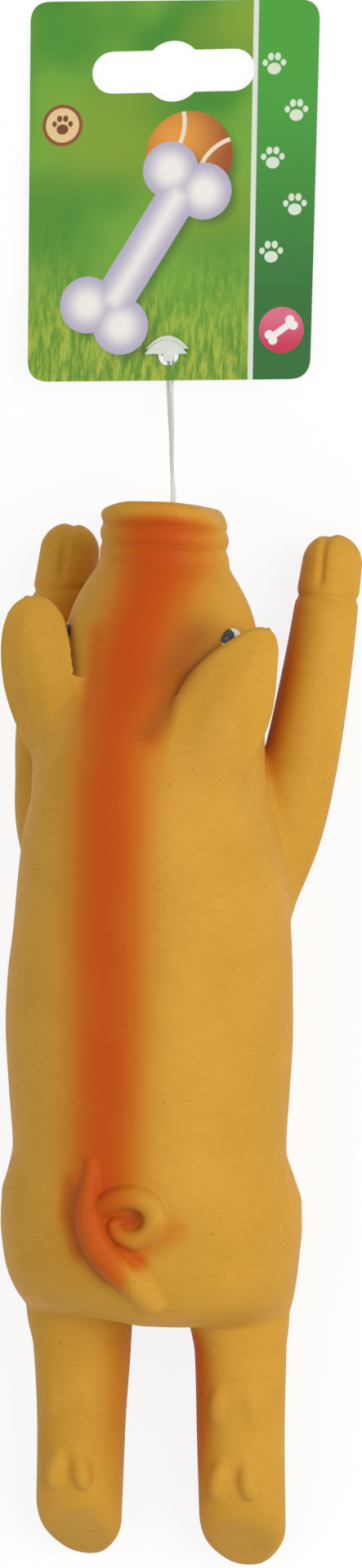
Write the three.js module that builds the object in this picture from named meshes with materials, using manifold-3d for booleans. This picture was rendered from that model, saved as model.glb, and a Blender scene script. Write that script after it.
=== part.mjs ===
// Squeaky latex dog toy in the form of a stretched-out pig, with a squeaker in its belly
// and a printed hang card on a clear plastic loop.
// Millimetres. +Z is up, +Y runs towards the snout, +X is the toy's left when seen from above
// with the snout up. The toy lies on its belly and its origin is under the middle of its length.

import * as THREE from "three";
import { mergeVertices } from "three/addons/utils/BufferGeometryUtils.js";
import Module from "manifold-3d";

const wasm = await Module();
wasm.setup();

// Whole toy
const noseFront = 104.3; // front of the nose disc, from the frame line across the waist
const soleRear = -101.5; // rear end of the hind feet, from the same line
const skinWall = 2.0; // moulded latex
const seam = 0.3; // clearance between neighbouring regions of the skin
const overrun = 2; // how far a cut runs past what it cuts
const restCut = 0.5; // depth of the flat that the belly rests on
const footLift = 0.3; // the feet stop this far above the surface

// Torso, an axis that climbs towards the shoulders
const rumpEnd = -53.9;
const napeEnd = 72;
const torsoHalfWidth = 27.5;
const torsoBackHeight = 27.5; // axis to the top of the back
const torsoBellyDepth = 28.5; // axis to the belly
const axisClimb = 0.1184; // rise per length
const torsoSides = 28;
const insideSides = 18;
// along the torso, half-width, back, belly, aside
const torsoShares = [
  [0, 0.34, 0.26, 0.26, 0],
  [0.01, 0.65, 0.47, 0.44, 0],
  [0.028, 0.855, 0.66, 0.58, 0],
  [0.046, 0.945, 0.77, 0.66, 0.005],
  [0.083, 1.015, 0.9, 0.75, 0.006],
  [0.12, 1.045, 0.955, 0.8, 0.01],
  [0.157, 1.062, 0.98, 0.83, 0.016],
  [0.2, 1.055, 0.985, 0.86, 0.02],
  [0.235, 1.005, 0.985, 0.88, 0.017],
  [0.277, 0.955, 0.985, 0.9, 0.005],
  [0.367, 0.98, 0.99, 0.955, 0],
  [0.457, 1.0, 1.0, 1.005, 0],
  [0.534, 0.988, 1.0, 1.045, 0.006],
  [0.608, 0.958, 1.0, 1.08, 0.02],
  [0.68, 0.93, 0.99, 1.105, 0.024],
  [0.75, 0.88, 0.975, 1.085, 0.016],
  [0.82, 0.79, 0.94, 1.0, 0.005],
  [0.885, 0.705, 0.86, 0.93, 0],
  [0.94, 0.68, 0.68, 0.88, 0],
  [1, 0.54, 0.43, 0.83, 0],
];

// Head, a cone on a level axis, and the ringed snout in front of it
const headRear = 52;
const snoutRear = 92;
const headHalfWidth = 21;
const headAxisHeight = 28.3;
const headSides = 26;
// along the head, half-width, crown, jaw
const headShares = [
  [0, 0.93, 0.95, 0.93],
  [0.2, 0.95, 0.96, 0.95],
  [0.37, 0.962, 0.95, 0.96],
  [0.52, 0.93, 0.925, 0.94],
  [0.68, 0.88, 0.87, 0.88],
  [0.8, 0.815, 0.79, 0.8],
  [0.9, 0.722, 0.7, 0.7],
  [1, 0.6, 0.59, 0.6],
];
const snoutRadius = 12.1;
const noseDome = 0.3; // how far the middle of the nose disc stands in front of its edge
const noseRound = 1.8; // rounded edge of the disc
const ringDepth = 0.7; // grooves round the snout
const ringShares = [0.1, 0.33, 0.63]; // places of the grooves, from the snout's rear to its front
const ringHalfWidth = 0.9;
const noseWall = 2.6;
const nostrilSpacing = 8.4;
const nostrilDepth = 1.3;
const nostrilHalfWidth = 1.6;
const nostrilHalfHeight = 2.5;

// Eyes, low domes on the cheeks under the ears
const eyeForward = 77.6;
const eyeAside = 16.4;
const eyeHeight = 37.1;
const eyeRadius = 3.0;
const eyeDepth = 1.3;

// Ears: root on the nape, leaf reaching forward beside the head
const earThickness = 4.0;
const earBow = 1.4; // the leaf's edges fall this far below its middle
const earWidth = 18;
const earSides = 14;
const earSplitShare = 0.47; // where the soft root ends and the stiff leaf begins
const earGap = 1.1; // the leaf hangs this far off the head and the eye
// middle of each ear from the nape to its tip
const earRoutes = {
  left: [[10.5, 46.5, 47.5], [13.4, 56.3, 47.2], [17.2, 64.5, 44.6], [21.0, 74, 41.0], [24.3, 85.3, 36.3]],
  right: [[12.6, 44, 48.5], [15.4, 55, 48.4], [17.4, 63.5, 46], [19.9, 72.5, 41.8], [22.9, 80.8, 37.8]],
};
// degrees of the leaf's width from level, at its root and its tip
const earLeans = { left: [40, 12], right: [46, 26] };
// along the ear, width
const earShares = {
  left: [
    [0, 0.7],
    [0.07, 0.72],
    [0.26, 0.89],
    [0.44, 1.0],
    [0.6, 0.98],
    [0.72, 0.9],
    [0.84, 0.765],
    [0.93, 0.555],
    [0.977, 0.33],
    [1, 0.12],
  ],
  right: [
    [0, 0.83],
    [0.1, 0.98],
    [0.3, 1.075],
    [0.47, 1.075],
    [0.62, 1.02],
    [0.76, 0.85],
    [0.875, 0.61],
    [0.93, 0.46],
    [0.975, 0.25],
    [1, 0.1],
  ],
};
const earTipThicknessShare = 0.4; // of the thickness, reached at the tip
const earTaperShare = 0.6; // of the length, where the leaf starts to thin towards its tip

// Forelegs, stretched forward along the ground
// aside, forward and height of each foreleg's middle, and its radius, down to the hoof
const foreRoutes = {
  left: [[16.5, 31, 18, 9.2], [22.3, 42, 16, 8.9], [25.5, 53, 13.9, 7.0], [26.3, 73.5, 10, 6.6]],
  right: [[16.5, 31, 18, 9.2], [21.2, 42, 16, 8.3], [24.3, 53, 13.9, 7.0], [26.3, 73.5, 10, 6.6]],
};
const foreTips = { left: [25.4, 100.6], right: [27.6, 99.7] }; // aside and reach of the hooves
const foreTipRadius = 5.8;
const foreSplitShare = 0.18; // of the way from elbow to tip
const cleftLength = 10.5;
const cleftDepth = 0.8;
const cleftWidth = 0.8;

// Hind legs, stretched back along the ground
const hindRootPlace = [14.6, -38, 16.5];
const hindRootRadius = 9.6;
// aside and forward of each hind leg's middle, and its radius, down to the foot
const hindRoutes = {
  left: [[16.1, -50, 10.4], [15.6, -58, 9.6], [15.8, -75.75, 8.6]],
  right: [[15.9, -50, 9.8], [16.3, -58, 8.9], [16.4, -75.75, 8.5]],
};
const hindFootAsides = { left: 16.6, right: 17.0 };
const hindFootRadius = 8.3;
const hindFootLength = 8; // the foot narrows over this length to its sole
const soleRadius = 7.2;
const hindSplitShare = 0.23; // of the way from hip to sole
const soleLean = 27; // degrees that the sole leans up from square
const soleTurns = { left: 0, right: 5.7 }; // degrees that it turns to the +X side
const legSides = 16;
const insideLegSides = 10;
const clawRadius = 1.9; // dew claws, in pairs above each foot
const clawLength = 6.6;
const clawForward = -83.2;
const clawPairs = { left: [16.0, 4.2], right: [17.1, 5.9] }; // aside and spacing of each pair

// Tail, a curled cord in relief on the rump
const tailRadius = 2.5;
const tailTipRadius = 1.4;
const tailLift = 1.0; // how far its middle stands over the skin
const tailCrossLift = 2.6; // more where it crosses itself
const tailLoopRadius = 6.6;
const tailForward = -31.5; // middle of the loop
const tailAside = 2.6;
const tailSides = 8;
// places of the tail's middle, aside and forward, and its lift, from its root to its tip
const tailShares = [
  [0.55, -2.5, -0.9],
  [0.1, -2.25, 0],
  [-0.55, -1.6, 0.2],
  [-0.98, -0.75, 0.8],
  [-1.0, 0.15, 1.0],
  [-0.5, 0.85, 0.6],
  [0.2, 0.95, 0.2],
  [0.82, 0.45, 0],
  [0.8, -0.35, 0],
  [0.25, -0.78, 0],
  [-0.35, -0.5, -0.5],
];

// Squeaker, pressed into a socket in the belly
const squeakerForward = -14;
const squeakerRadius = 7.5;
const squeakerHeight = 9.6;
const squeakerRecess = 1.0; // its face lies this far above the resting surface
const squeakerWall = 1.1;
const squeakerFloor = 1.2;
const socketHeight = 7.8;
const lockFlange = 1.5; // the flange that holds it above the socket
const lockFlangeHeight = 1.2;
const ventRadius = 0.9;
const ventCircle = 4.2;
const ventCount = 6;
const ventSides = 8;
const squeakerSides = 24;
const capThickness = 1.0;
const capVentRadius = 0.8;
const blockWidth = 7.6;
const blockLength = 9.0;
const blockHeight = 2.8;
const troughWidth = 4.4;
const troughLength = 6.2;
const troughDepth = 1.8;
const reedWidth = 3.6;
const reedThickness = 0.25;
const clampLength = 2.2;
const clampHeight = 1.0;
const fit = 0.3; // clearance between the squeaker's pieces

// Hang card
const cardBottomWidth = 57.2;
const cardTopWidth = 58.8;
const cardHeight = 74.6;
const cardThickness = 0.5;
const cardCorner = 4.2;
const cardSkew = 0.5; // its far edge is cut this much off square at each end
const cardPlace = [-7.15, 128.85]; // middle of its near edge
const cardYaw = 1.6; // degrees
const cardNearLift = 3.6; // its near edge is propped up by the loop
const holeRadius = 2.1;
const holeInset = 5.0; // from the near edge
const slotInset = 60.7;
const slotLength = 33;
const slotWidth = 8.3;
const slotBumpRadius = 6.0;

// Loop: two strands from the nose disc to the toggles over the card
const strandDiameter = 0.7;
const strandSides = 8;
const strandSteps = 28;
const exitAside = 1.0;
const exitHeights = [27.2, 25.8]; // one above the other in the nose disc
const pierceClearance = 0.3;
const strandRoutes = [
  [
    [1, 100.4, 27.2], [1, 102.8, 27.2], [1, 105.2, 27.2], [0.5, 107.7, 25.7],
    [-0.2, 110, 23.4], [-1.5, 113, 19.1], [-2.9, 116, 14.4], [-4.2, 119.2, 10],
    [-5.4, 122.5, 6.2], [-6.2, 125.5, 4], [-6.7, 128.4, 2.5], [-6.8, 130.1, 2],
    [-6.7, 131.6, 1.9], [-6.67, 132.46, 2.27], [-6.64, 133.05, 2.9], [-6.64, 133.14, 4.76],
  ],
  [
    [1, 100.4, 25.8], [1, 102.8, 25.8], [1, 105.2, 25.8], [0.3, 107.7, 24.2],
    [-0.7, 110, 21.8], [-2.2, 113, 17.4], [-3.7, 116, 12.6], [-5.1, 119.1, 8.4],
    [-6.4, 122.5, 4.9], [-7.2, 125.5, 2.9], [-7.75, 128.4, 1.7], [-7.9, 130.5, 1.2],
    [-7.9, 132.4, 1.2], [-7.95, 133.38, 1.58], [-7.99, 134.05, 2.2], [-7.99, 134.14, 3.86],
  ],
];
const toggleLength = 8.6;
const toggleReach = 2.6; // depth of the half-moon
const toggleThickness = 0.6;
const toggleShift = 1.1; // the lower leaf lies this much further from the nose
const toggleStemReach = 1.4; // the stem stands out of the half-moon's straight side
const upperStem = [0.5, 2.0]; // middle and width, from the hole's middle
const lowerStem = [-0.7, 1.1];

// Materials
const latex = () => new THREE.MeshStandardMaterial({ color: 0xd39a3c, roughness: 0.55, metalness: 0 });
const eyePaint = () => new THREE.MeshStandardMaterial({ color: 0xe8e4dc, roughness: 0.4, metalness: 0 });
const whitePlastic = () => new THREE.MeshStandardMaterial({ color: 0xe9e7df, roughness: 0.45, metalness: 0 });
const brassStrip = () => new THREE.MeshStandardMaterial({ color: 0xc9a24a, roughness: 0.35, metalness: 1 });
const printedCard = () => new THREE.MeshStandardMaterial({ color: 0x4f9a2c, roughness: 0.5, metalness: 0 });
const clearPlastic = () =>
  new THREE.MeshStandardMaterial({
    color: 0xf1f1ee,
    roughness: 0.3,
    metalness: 0,
    transparent: true,
    opacity: 0.7,
  });

const up = new THREE.Vector3(0, 0, 1);
const vector = (place) => new THREE.Vector3(...place);
const radians = THREE.MathUtils.degToRad;
const onSide = (side, [x, y, z]) => new THREE.Vector3(side * x, y, z);

// A manifold solid of a closed three.js geometry, turned outwards if its rings ran the other way
function solid(geometry) {
  const bare = geometry.index ? geometry.toNonIndexed() : geometry.clone();
  bare.deleteAttribute("normal");
  bare.deleteAttribute("uv");
  const merged = mergeVertices(bare, 1e-4);
  const vertProperties = merged.attributes.position.array;
  const triVerts = new Uint32Array(merged.index.array);
  const made = new wasm.Manifold(new wasm.Mesh({ numProp: 3, vertProperties, triVerts }));
  if (made.volume() >= 0) return made;
  for (let i = 0; i < triVerts.length; i += 3) {
    [triVerts[i + 1], triVerts[i + 2]] = [triVerts[i + 2], triVerts[i + 1]];
  }
  return new wasm.Manifold(new wasm.Mesh({ numProp: 3, vertProperties, triVerts }));
}

// The three.js geometry of a manifold solid, keeping only its largest body
function geometryOf(made) {
  const bodies = made.decompose().sort((a, b) => b.volume() - a.volume());
  const mesh = bodies[0].getMesh();
  return new THREE.BufferGeometry()
    .setAttribute("position", new THREE.BufferAttribute(mesh.vertProperties, 3))
    .setIndex(new THREE.BufferAttribute(mesh.triVerts, 1));
}

const group = new THREE.Group();

function addMesh(name, shape, material) {
  const geometry = shape.isBufferGeometry ? shape : geometryOf(shape);
  geometry.computeVertexNormals();
  const mesh = new THREE.Mesh(geometry, material);
  mesh.name = name;
  group.add(mesh);
  return mesh;
}

// A closed skin over rings that all hold as many points
function loft(rings) {
  const sides = rings[0].length;
  const middle = (ring) =>
    ring.reduce((sum, p) => sum.add(p), new THREE.Vector3()).divideScalar(sides);
  const points = [...rings.flat(), middle(rings[0]), middle(rings.at(-1))];
  const first = points.length - 2;
  const last = points.length - 1;
  const lastRing = (rings.length - 1) * sides;
  const index = [];
  for (let j = 0; j < sides; j += 1) {
    const k = (j + 1) % sides;
    for (let i = 0; i < rings.length - 1; i += 1) {
      const a = i * sides;
      const b = a + sides;
      index.push(a + j, a + k, b + j, a + k, b + k, b + j);
    }
    index.push(first, k, j);
    index.push(last, lastRing + j, lastRing + k);
  }
  return new THREE.BufferGeometry().setFromPoints(points).setIndex(index);
}

// One ring: across and rise are vectors, and the lower half falls by its own share of the rise
function ring(centre, across, rise, fallShare, sides) {
  return Array.from({ length: sides }, (_, j) => {
    const angle = (2 * Math.PI * j) / sides;
    const lift = Math.sin(angle) * (Math.sin(angle) < 0 ? fallShare : 1);
    return centre.clone().addScaledVector(across, Math.cos(angle)).addScaledVector(rise, lift);
  });
}

// Body forms on the Y axis, grown outwards all round by a length
function bodyLoft(rear, front, shares, halfWidth, backHeight, bellyDepth, centreHeight, sides, grow) {
  const rings = shares.map(([along, width, back, belly, aside = 0], i) => {
    const end = i === 0 ? -grow : i === shares.length - 1 ? grow : 0;
    const y = rear + (front - rear) * along + end;
    const across = new THREE.Vector3(width * halfWidth + grow, 0, 0);
    const rise = back * backHeight + grow;
    const fall = belly * bellyDepth + grow;
    const centre = new THREE.Vector3(aside * halfWidth, y, centreHeight(y));
    return ring(centre, across, up.clone().multiplyScalar(rise), fall / rise, sides);
  });
  return solid(loft(rings));
}

// The torso's axis lies so high that its lowest section sinks below the surface by the rest cut
const bellyLow = Math.min(
  ...torsoShares.map(([along, , , belly]) => {
    const y = rumpEnd + (napeEnd - rumpEnd) * along;
    return axisClimb * y - belly * torsoBellyDepth;
  }),
);
const axisHeight = -bellyLow - restCut;
const torsoAxisAt = (y) => axisHeight + axisClimb * y;
const torsoForm = (grow) =>
  bodyLoft(
    rumpEnd, napeEnd, torsoShares, torsoHalfWidth, torsoBackHeight, torsoBellyDepth,
    torsoAxisAt, grow < 0 ? insideSides : torsoSides, grow,
  );
const headForm = (grow) =>
  bodyLoft(
    headRear, snoutRear, headShares, headHalfWidth, headHalfWidth, headHalfWidth,
    () => headAxisHeight, grow < 0 ? insideSides : headSides, grow,
  );

// Height of the back over a place, from the torso's own sections
function backHeightAt(x, y) {
  const along = (y - rumpEnd) / (napeEnd - rumpEnd);
  const next = Math.max(1, torsoShares.findIndex(([share]) => share >= along));
  const [a0, w0, b0, , s0] = torsoShares[next - 1];
  const [a1, w1, b1, , s1] = torsoShares[next];
  const t = (along - a0) / (a1 - a0);
  const width = (w0 + (w1 - w0) * t) * torsoHalfWidth;
  const back = (b0 + (b1 - b0) * t) * torsoBackHeight;
  const aside = (s0 + (s1 - s0) * t) * torsoHalfWidth;
  return torsoAxisAt(y) + back * Math.sqrt(Math.max(0, 1 - ((x - aside) / width) ** 2));
}

// A round limb through stations of centre and radius, with a rounded end, grown by a length
const capShares = [0.35, 0.62, 0.84, 0.97]; // sines of the rings on a rounded end
function limbLoft(stations, sides, grow, roundEnd) {
  const rings = [];
  let reach = new THREE.Vector3();
  stations.forEach(({ at, radius }, i) => {
    const before = stations[Math.max(0, i - 1)].at;
    const after = stations[Math.min(stations.length - 1, i + 1)].at;
    reach = after.clone().sub(before).normalize();
    const rise = up.clone().addScaledVector(reach, -up.dot(reach)).normalize();
    const across = rise.clone().cross(reach);
    const put = (centre, r) =>
      rings.push(ring(centre, across.clone().multiplyScalar(r), rise.clone().multiplyScalar(r), 1, sides));
    put(at.clone(), radius + grow);
    if (roundEnd && i === stations.length - 1) {
      for (const share of capShares) {
        const r = radius + grow;
        put(at.clone().addScaledVector(reach, r * share), r * Math.sqrt(1 - share ** 2));
      }
    }
  });
  return solid(loft(rings));
}

// A block whose face passes through a place and that fills the side its normal points to
function halfSpace(place, normal, reach) {
  const box = new THREE.BoxGeometry(reach, reach, reach);
  box.translate(0, 0, reach / 2);
  box.applyQuaternion(new THREE.Quaternion().setFromUnitVectors(up, normal.clone().normalize()));
  box.translate(place.x, place.y, place.z);
  return solid(box);
}

const bigReach = (noseFront - soleRear) * 2;

// Turned piece about a vertical axis, its profile given as radius and height
function turned(profile, place, segments) {
  const geometry = new THREE.LatheGeometry(profile.map(([r, h]) => new THREE.Vector2(r, h)), segments);
  geometry.rotateX(Math.PI / 2);
  geometry.translate(...place);
  return solid(geometry);
}

function rod(radius, height, place, segments) {
  const geometry = new THREE.CylinderGeometry(radius, radius, height, segments);
  geometry.rotateX(Math.PI / 2);
  geometry.translate(...place);
  return solid(geometry);
}

function block(width, length, height, place) {
  return solid(new THREE.BoxGeometry(width, length, height).translate(...place));
}

// Limbs

const wordOf = (side) => (side < 0 ? "left" : "right");
const foreTipHeight = foreTipRadius + footLift;
function foreStations(side) {
  const [tipAside, tipReach] = foreTips[wordOf(side)];
  const stations = foreRoutes[wordOf(side)].map(([x, y, z, radius]) => ({
    at: onSide(side, [x, y, z]),
    radius,
  }));
  const tip = onSide(side, [tipAside, tipReach - foreTipRadius, foreTipHeight]);
  return [...stations, { at: tip, radius: foreTipRadius }];
}

const hindFootHeight = hindFootRadius + footLift;
const soleLift = Math.tan(radians(soleLean)) * hindFootRadius;
const hindHeightAt = (y) => hindFootHeight + (y - soleRear) * axisClimb;
function hindStations(side) {
  const footAside = hindFootAsides[wordOf(side)];
  const ankle = soleRear + hindFootLength;
  return [
    { at: onSide(side, hindRootPlace), radius: hindRootRadius },
    ...hindRoutes[wordOf(side)].map(([x, y, radius]) => ({
      at: onSide(side, [x, y, hindHeightAt(y)]),
      radius,
    })),
    { at: onSide(side, [footAside, ankle, hindHeightAt(ankle)]), radius: hindFootRadius },
    { at: onSide(side, [footAside, soleRear, hindFootHeight]), radius: soleRadius },
  ];
}

// The sole: a plane through the foot's end that leans forward towards the top
function soleBlock(side, inset) {
  const lean = radians(soleLean);
  const turn = radians(soleTurns[wordOf(side)]);
  const normal = new THREE.Vector3(0, -Math.cos(lean), Math.sin(lean)).applyAxisAngle(up, turn);
  const heel = onSide(side, [hindFootAsides[wordOf(side)], soleRear + soleLift, hindFootHeight]);
  heel.addScaledVector(normal, -inset);
  return halfSpace(heel, normal, bigReach);
}

const legSidesFor = (grow) => (grow < 0 ? insideLegSides : legSides);
const foreForm = (side, grow) => limbLoft(foreStations(side), legSidesFor(grow), grow, true);
function hindForm(side, grow) {
  const leg = limbLoft(hindStations(side), legSidesFor(grow), grow, false);
  return leg.subtract(soleBlock(side, -grow));
}

// Splits a limb square to its run: the root side and the far side, one seam apart
function splitAt(form, place, direction) {
  const far = halfSpace(place.clone().addScaledVector(direction, seam / 2), direction, bigReach);
  const near = halfSpace(
    place.clone().addScaledVector(direction, -seam / 2),
    direction.clone().negate(),
    bigReach,
  );
  return [form.intersect(near), form.intersect(far)];
}

// Squeaker

const squeakerBase = squeakerRecess;
const squeakerTop = squeakerBase + squeakerHeight;
const squeakerInside = squeakerRadius - squeakerWall;
const socketBore = squeakerRadius + seam;
const socketTop = squeakerTop - lockFlangeHeight - seam;
const squeakerPlace = (height) => [0, squeakerForward, height];

function socketTube() {
  const outside = socketBore + skinWall;
  return turned(
    [[0, socketTop - socketHeight], [outside, socketTop - socketHeight], [outside, socketTop], [0, socketTop]],
    squeakerPlace(0),
    squeakerSides,
  );
}

function squeakerHousing() {
  const flange = squeakerRadius + lockFlange;
  const body = turned(
    [
      [0, squeakerBase],
      [squeakerRadius, squeakerBase],
      [squeakerRadius, squeakerTop - lockFlangeHeight],
      [flange, squeakerTop - lockFlangeHeight],
      [flange, squeakerTop],
      [squeakerInside, squeakerTop],
      [squeakerInside, squeakerBase + squeakerFloor],
      [0, squeakerBase + squeakerFloor],
    ],
    squeakerPlace(0),
    squeakerSides,
  );
  return ventHoles(body, ventRadius, ventCircle, squeakerBase + squeakerFloor / 2, squeakerFloor);
}

function ventHoles(body, radius, circle, height, depth) {
  let made = body;
  for (let i = 0; i < ventCount; i += 1) {
    const angle = (2 * Math.PI * i) / ventCount;
    const [x, y] = [circle * Math.cos(angle), squeakerForward + circle * Math.sin(angle)];
    made = made.subtract(rod(radius, depth + 2 * overrun, [x, y, height], ventSides));
  }
  return made;
}

const blockBase = squeakerBase + squeakerFloor + fit;
const blockTop = blockBase + blockHeight;
const reedHeight = blockTop + fit + reedThickness / 2;
const clampBase = reedHeight + reedThickness / 2 + fit;
const reedRootForward = squeakerForward - blockLength / 2;

function reedBlock() {
  const body = block(blockWidth, blockLength, blockHeight, squeakerPlace(blockBase + blockHeight / 2));
  const troughRear = squeakerForward + blockLength / 2 - troughLength;
  const trough = block(
    troughWidth,
    troughLength + overrun,
    troughDepth + overrun,
    [0, troughRear + (troughLength + overrun) / 2, blockTop - troughDepth + (troughDepth + overrun) / 2],
  );
  const windway = rod(ventRadius, blockHeight + 2 * overrun, squeakerPlace(blockBase), ventSides);
  return body.subtract(trough).subtract(windway);
}

function squeakerCap() {
  const radius = squeakerInside - fit;
  const height = squeakerTop - capThickness / 2;
  const disc = rod(radius, capThickness, squeakerPlace(height), squeakerSides);
  return ventHoles(disc, capVentRadius, ventCircle, height, capThickness);
}

// Snout, turned about the head's axis and domed in front

const snoutRim = noseFront - noseDome;
const noseEdgeAngles = [0, 35, 65, 90];
function snoutProfile() {
  const profile = [[0, snoutRear], [snoutRadius, snoutRear]];
  for (const share of ringShares) {
    const y = snoutRear + share * (snoutRim - snoutRear);
    profile.push([snoutRadius, y - ringHalfWidth]);
    profile.push([snoutRadius - ringDepth, y]);
    profile.push([snoutRadius, y + ringHalfWidth]);
  }
  for (const angle of noseEdgeAngles.map(radians)) {
    const r = snoutRadius - noseRound * (1 - Math.cos(angle));
    profile.push([r, snoutRim - noseRound * (1 - Math.sin(angle))]);
  }
  profile.push([0, noseFront]);
  return profile;
}

function alongHeadAxis(profile, segments) {
  const geometry = new THREE.LatheGeometry(profile.map(([r, y]) => new THREE.Vector2(r, y)), segments);
  geometry.translate(0, 0, headAxisHeight);
  return solid(geometry);
}

function snoutForm() {
  const outside = alongHeadAxis(snoutProfile(), headSides);
  const bore = [
    [0, snoutRear - overrun],
    [snoutRadius - skinWall - ringDepth, snoutRear - overrun],
    [snoutRadius - skinWall - ringDepth, snoutRim - noseWall],
    [0, snoutRim - noseWall],
  ];
  let made = outside.subtract(alongHeadAxis(bore, headSides));
  for (const side of [-1, 1]) {
    const nostril = new THREE.SphereGeometry(1, 10, 6);
    nostril.scale(nostrilHalfWidth, nostrilDepth, nostrilHalfHeight);
    nostril.translate((side * nostrilSpacing) / 2, noseFront, headAxisHeight);
    made = made.subtract(solid(nostril));
  }
  for (const height of exitHeights) {
    const radius = strandDiameter / 2 + pierceClearance;
    const reach = 2 * (noseWall + overrun);
    const pierced = new THREE.CylinderGeometry(radius, radius, reach, strandSides);
    pierced.translate(exitAside, snoutRim, height);
    made = made.subtract(solid(pierced));
  }
  return made;
}

// Ear: a leaf along a bent line, its width turning from steep at the root to nearly level

function earFrames(side) {
  const word = wordOf(side);
  const [rootLean, tipLean] = earLeans[word];
  const line = new THREE.CatmullRomCurve3(earRoutes[word].map((p) => onSide(side, p)), false, "centripetal");
  return earShares[word].map(([along, width]) => {
    const run = line.getTangentAt(along);
    const lean = radians(rootLean + (tipLean - rootLean) * along);
    const across = new THREE.Vector3(side * Math.cos(lean), 0, -Math.sin(lean));
    across.addScaledVector(run, -across.dot(run)).normalize();
    const rise = run.clone().cross(across).multiplyScalar(side);
    if (rise.z < 0) rise.negate();
    const thin = Math.max(0, (along - earTaperShare) / (1 - earTaperShare));
    const thickness = earThickness * (1 - (1 - earTipThicknessShare) * thin ** 2);
    const leaf = ring(
      line.getPointAt(along),
      across.multiplyScalar((earWidth / 2) * width),
      rise.clone().multiplyScalar(thickness / 2),
      1,
      earSides,
    );
    // each point falls with the square of its place across the leaf
    leaf.forEach((point, j) => {
      const aside = Math.cos((2 * Math.PI * j) / earSides) * width;
      point.addScaledVector(rise, -earBow * aside ** 2);
    });
    return leaf;
  });
}

function earSplit(side) {
  const frames = earFrames(side);
  const shares = earShares[wordOf(side)];
  const middleOf = (points) =>
    points.reduce((sum, p) => sum.add(p), new THREE.Vector3()).divideScalar(points.length);
  const next = shares.findIndex(([along]) => along >= earSplitShare);
  const [before, after] = [middleOf(frames[next - 1]), middleOf(frames[next])];
  const direction = after.clone().sub(before).normalize();
  const share = (earSplitShare - shares[next - 1][0]) / (shares[next][0] - shares[next - 1][0]);
  return [before.lerp(after, share), direction];
}

// Tail: a tapering cord that follows the back, with its tip passing under the first strand

function tailForm() {
  const places = tailShares.map(([aside, forward, lift]) => {
    const x = tailAside + aside * tailLoopRadius;
    const y = tailForward + forward * tailLoopRadius;
    return new THREE.Vector3(x, y, backHeightAt(x, y) + tailLift + lift * tailCrossLift);
  });
  const line = new THREE.CatmullRomCurve3(places, false, "centripetal");
  const steps = places.length * 3;
  const rings = [];
  for (let i = 0; i <= steps; i += 1) {
    const t = i / steps;
    const run = line.getTangentAt(t);
    const rise = up.clone().addScaledVector(run, -up.dot(run)).normalize();
    const radius = tailRadius + (tailTipRadius - tailRadius) * t;
    const across = rise.clone().cross(run).multiplyScalar(radius);
    rings.push(ring(line.getPointAt(t), across, rise.multiplyScalar(radius), 1, tailSides));
  }
  return solid(loft(rings));
}

// Hang card, tilted about its far edge, and the pieces on it

const cardTilt = Math.asin(cardNearLift / cardHeight);

function roundedOutline(points, radius) {
  const shape = new THREE.Shape();
  points.forEach((corner, i) => {
    const before = points[(i + points.length - 1) % points.length];
    const after = points[(i + 1) % points.length];
    const start = corner.clone().lerp(before, radius / corner.distanceTo(before));
    const end = corner.clone().lerp(after, radius / corner.distanceTo(after));
    if (i === 0) shape.moveTo(start.x, start.y);
    else shape.lineTo(start.x, start.y);
    shape.quadraticCurveTo(corner.x, corner.y, end.x, end.y);
  });
  shape.closePath();
  return shape;
}

function slotOutline() {
  const end = slotWidth / 2;
  const straight = slotLength / 2 - end;
  const meet = Math.asin(end / slotBumpRadius);
  const path = new THREE.Path();
  path.absarc(straight, slotInset, end, -Math.PI / 2, Math.PI / 2);
  path.absarc(0, slotInset, slotBumpRadius, meet, Math.PI - meet);
  path.absarc(-straight, slotInset, end, Math.PI / 2, (3 * Math.PI) / 2);
  path.absarc(0, slotInset, slotBumpRadius, Math.PI + meet, 2 * Math.PI - meet);
  path.closePath();
  return path;
}

function cardGeometry() {
  const corners = [
    [-cardBottomWidth / 2, 0],
    [cardBottomWidth / 2, 0],
    [cardTopWidth / 2, cardHeight - cardSkew],
    [-cardTopWidth / 2, cardHeight + cardSkew],
  ].map(([x, y]) => new THREE.Vector2(x, y));
  const shape = roundedOutline(corners, cardCorner);
  const hole = new THREE.Path();
  hole.absarc(0, holeInset, holeRadius, 0, 2 * Math.PI);
  shape.holes.push(hole, slotOutline());
  return new THREE.ExtrudeGeometry(shape, { depth: cardThickness, bevelEnabled: false, curveSegments: 8 });
}

// A half-moon leaf that lies on the card, and the stem that leads from its straight side to the hole
function toggleGeometry([stemAside, stemWidth]) {
  const half = toggleLength / 2;
  const shape = new THREE.Shape();
  shape.moveTo(half, 0);
  shape.quadraticCurveTo(0, 2 * toggleReach, -half, 0);
  shape.lineTo(stemAside - stemWidth / 2, 0);
  shape.lineTo(stemAside - stemWidth / 2, -toggleStemReach);
  shape.lineTo(stemAside + stemWidth / 2, -toggleStemReach);
  shape.lineTo(stemAside + stemWidth / 2, 0);
  shape.closePath();
  return new THREE.ExtrudeGeometry(shape, { depth: toggleThickness, bevelEnabled: false, curveSegments: 12 });
}

function placeOnCard(mesh, aside, along, lift) {
  mesh.rotation.set(-cardTilt, 0, radians(cardYaw), "ZXY");
  const local = new THREE.Vector3(aside, along, lift);
  local.applyEuler(mesh.rotation);
  mesh.position.set(cardPlace[0], cardPlace[1], cardNearLift).add(local);
}

// Strand: a tube along its route
function strandGeometry(route) {
  const line = new THREE.CatmullRomCurve3(route.map(vector), false, "centripetal");
  const section = new THREE.Shape();
  for (let i = 0; i < strandSides; i += 1) {
    const angle = (2 * Math.PI * i) / strandSides;
    const [x, y] = [Math.cos(angle), Math.sin(angle)].map((share) => (share * strandDiameter) / 2);
    if (i === 0) section.moveTo(x, y);
    else section.lineTo(x, y);
  }
  section.closePath();
  return new THREE.ExtrudeGeometry(section, { steps: strandSteps, extrudePath: line, bevelEnabled: false });
}

// Assembly

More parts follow.
